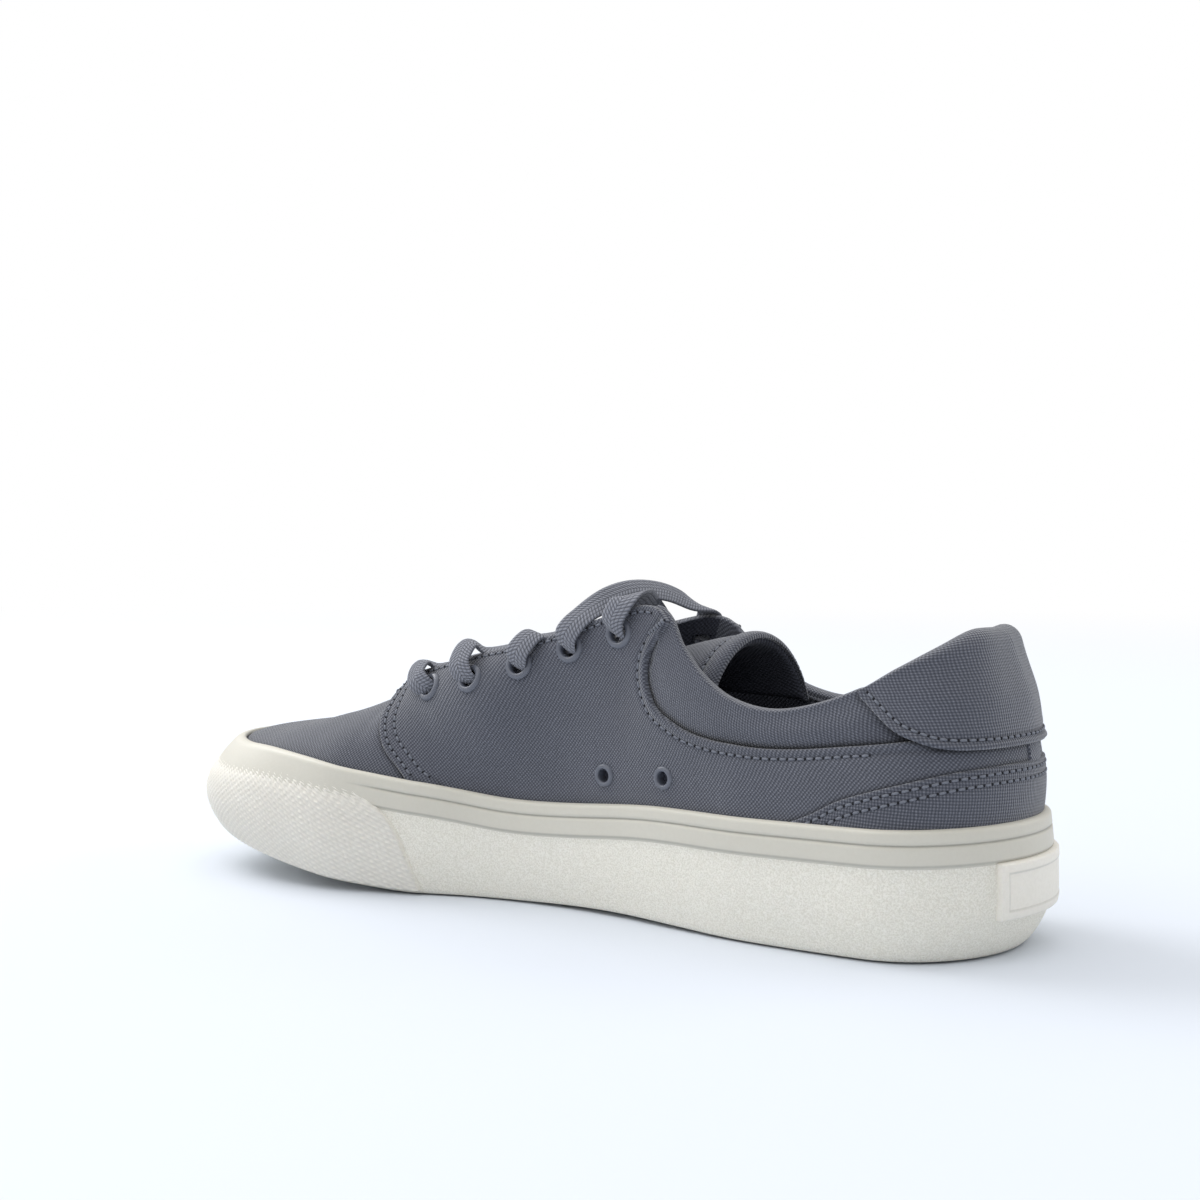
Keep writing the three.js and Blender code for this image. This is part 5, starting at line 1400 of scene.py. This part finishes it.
def makeStitches():
    bodies, holes = [], []
    around = np.linspace(0, 2 * np.pi, sewing["sides"], endpoint=False)
    lift = np.linspace(-1, 1, sewing["stops"])
    for line, normal, pitch, radius in stitchLines:
        run = lengths(line)
        count = max(int(run[-1] / pitch), 1)
        spots = (np.arange(count) + 0.5) * run[-1] / count
        centre, up = alongLine(run, line, spots), unit(alongLine(run, normal, spots))
        ahead = unit(alongLine(run, line, spots + 0.5) - alongLine(run, line, spots - 0.5))
        across = unit(np.cross(ahead, up))
        size = np.sqrt(np.maximum(1 - np.abs(lift) ** 3, 0.02)) * radius
        half = run[-1] / count * sewing["part"]
        reach = (lift * half)[:, None]
        wide = size[:, None] * np.cos(around) * sewing["flat"]
        level = -sewing["sink"] * lift[:, None] ** 2
        tall = size[:, None] * np.sin(around)
        bodies.append(roundBodies(centre, ahead, across, up, reach, wide, tall, level))
        spots = np.arange(count + 1) * run[-1] / count
        centre, up = alongLine(run, line, spots), unit(alongLine(run, normal, spots))
        ahead = unit(alongLine(run, line, spots + 0.4) - alongLine(run, line, spots - 0.4))
        across = unit(np.cross(ahead, up))
        ball = np.sqrt(np.maximum(1 - lift ** 2, 0.01))[:, None] * sewing["hole"]
        deep = (lift * sewing["holeDeep"] - 0.12)[:, None]
        reach, wide = ball * np.sin(around) * 0.75, ball * np.cos(around)
        holes.append(roundBodies(centre, ahead, across, up, reach, wide, 0, deep))
    one = gridQuads(sewing["stops"], sewing["sides"], wrapColumns=True)
    caps = np.array([[0, 1, 6, 7], [1, 2, 5, 6], [2, 3, 4, 5]])
    size = sewing["stops"] * sewing["sides"]
    one = np.concatenate([one, caps, caps[:, ::-1] + size - sewing["sides"]])
    for name, parts, material in (("stitching", bodies, thread), ("needle_hole_shade", holes, holeShade)):
        solids = np.concatenate(parts)
        points = solids.reshape(-1, 3)
        quads = (one[None] + size * np.arange(len(solids))[:, None, None]).reshape(-1, 4)
        first = volume(points[:size] - points[:size].mean(0), one)
        piece = addPiece(name, points, quads if first > 0 else quads[:, ::-1], material, closed=False,
                         sharp=0)


makeQuarter(1)
makeQuarter(-1)
makeVamp()
print("quarters and vamp made")
makeCollar()
makeTab()
makeCounter()
makeBackStrip()
makeLining()
print("collar, heel and lining made")
makeTongue()
for side, word in ((1, "medial"), (-1, "lateral")):
    for index in range(shoe["eyeletCount"]):
        makeRing(f"eyelet_{word}_{index + 1}", "eyelet", eyeletSeat(side, index))
for index in range(2):
    makeRing(f"vent_{index + 1}", "vent", ventSeat(index))
print("tongue and eyelets made")
firstLace = makeLace(1, "lace_inner_start")
secondLace = makeLace(-1, "lace_outer_start")
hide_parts("lace_crossing_1", "lace_crossing_2")
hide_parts("lace_crossing_3", "lace_crossing_4")
print("laces made")
makeBand()
makeBumper()
makeLabel()
makeFootbed()
makeStitches()
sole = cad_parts["sole"]
for slot in sole.material_slots:
    slot.material = grainyRubber
print("rubber and stitches made")

# Floor and soft studio light: a white room, a wide soft light above, and weaker ones from the toe and the
# back.
studio = {"floor": "#dde3ec", "room": (1.0, 1.0, 1.0, 1.0), "roomLight": 0.6, "reach": 14, "sky": 1.4,
          "fade": (0.45, 1.7)}
floorMesh = bpy.data.meshes.new("floor")
corners = [(x * studio["reach"], y * studio["reach"], 0) for x, y in ((-1, -1), (1, -1), (1, 1), (-1, 1))]
floorMesh.from_pydata(corners, [], [(0, 1, 2, 3)])
floor = bpy.data.objects.new("floor", floorMesh)
bpy.context.scene.collection.objects.link(floor)
floorPaint, floorTree, floorShader = startMaterial("studio_paper", Roughness=0.75)
floorShader.inputs["Base Color"].default_value = linear(studio["floor"])
floorMesh.materials.append(floorPaint)
away = floorTree.nodes.new("ShaderNodeVectorMath")
away.operation = "LENGTH"
floorTree.links.new(floorTree.nodes.new("ShaderNodeTexCoord").outputs["Object"], away.inputs[0])
fade = {"Value": away.outputs["Value"], "From Min": studio["fade"][0], "From Max": studio["fade"][1]}
far = addNode(floorTree, "MapRange", fade, interpolation_type="SMOOTHSTEP")
glow = addNode(floorTree, "Emission", {"Color": studio["room"], "Strength": 1.0})
mixed = addNode(floorTree, "MixShader", {0: far, 1: floorShader.outputs[0], 2: glow})
floorTree.links.new(mixed, floorTree.nodes["Material Output"].inputs[0])
world = bpy.data.worlds.new("studio")
bpy.context.scene.world = world
world.use_nodes = True
room = world.node_tree.nodes["Background"]
room.inputs[0].default_value = studio["room"]
room.inputs[1].default_value = studio["roomLight"]
seen = world.node_tree.nodes.new("ShaderNodeBackground")
seen.inputs[0].default_value = studio["room"]
rays = world.node_tree.nodes.new("ShaderNodeLightPath")
either = world.node_tree.nodes.new("ShaderNodeMixShader")
world.node_tree.links.new(rays.outputs["Is Camera Ray"], either.inputs[0])
world.node_tree.links.new(room.outputs[0], either.inputs[1])
world.node_tree.links.new(seen.outputs[0], either.inputs[2])
world.node_tree.links.new(either.outputs[0], world.node_tree.nodes["World Output"].inputs[0])
bpy.context.scene.view_settings.view_transform = "Standard"
ceiling = bpy.data.lights.new("ceiling", "SUN")
ceiling.energy = studio["sky"]
ceiling.angle = np.radians(100)
overhead = bpy.data.objects.new("ceiling", ceiling)
overhead.rotation_euler = Vector((-0.45, -0.12, -1.0)).to_track_quat("-Z", "Y").to_euler()
bpy.context.scene.collection.objects.link(overhead)
lamps = [
    ("toe_side", (1.3, -0.1, 1.2), (0.05, 0, 0.05), 1.0, 13),
    ("back", (-1.2, -1.3, 0.9), (0, 0, 0.05), 1.2, 6),
]
for name, spot, aim, size, watts in lamps:
    lamp = bpy.data.lights.new(name, "AREA")
    lamp.size = size
    lamp.energy = watts
    holder = bpy.data.objects.new(name, lamp)
    holder.location = spot
    holder.rotation_euler = (Vector(aim) - Vector(spot)).to_track_quat("-Z", "Y").to_euler()
    bpy.context.scene.collection.objects.link(holder)
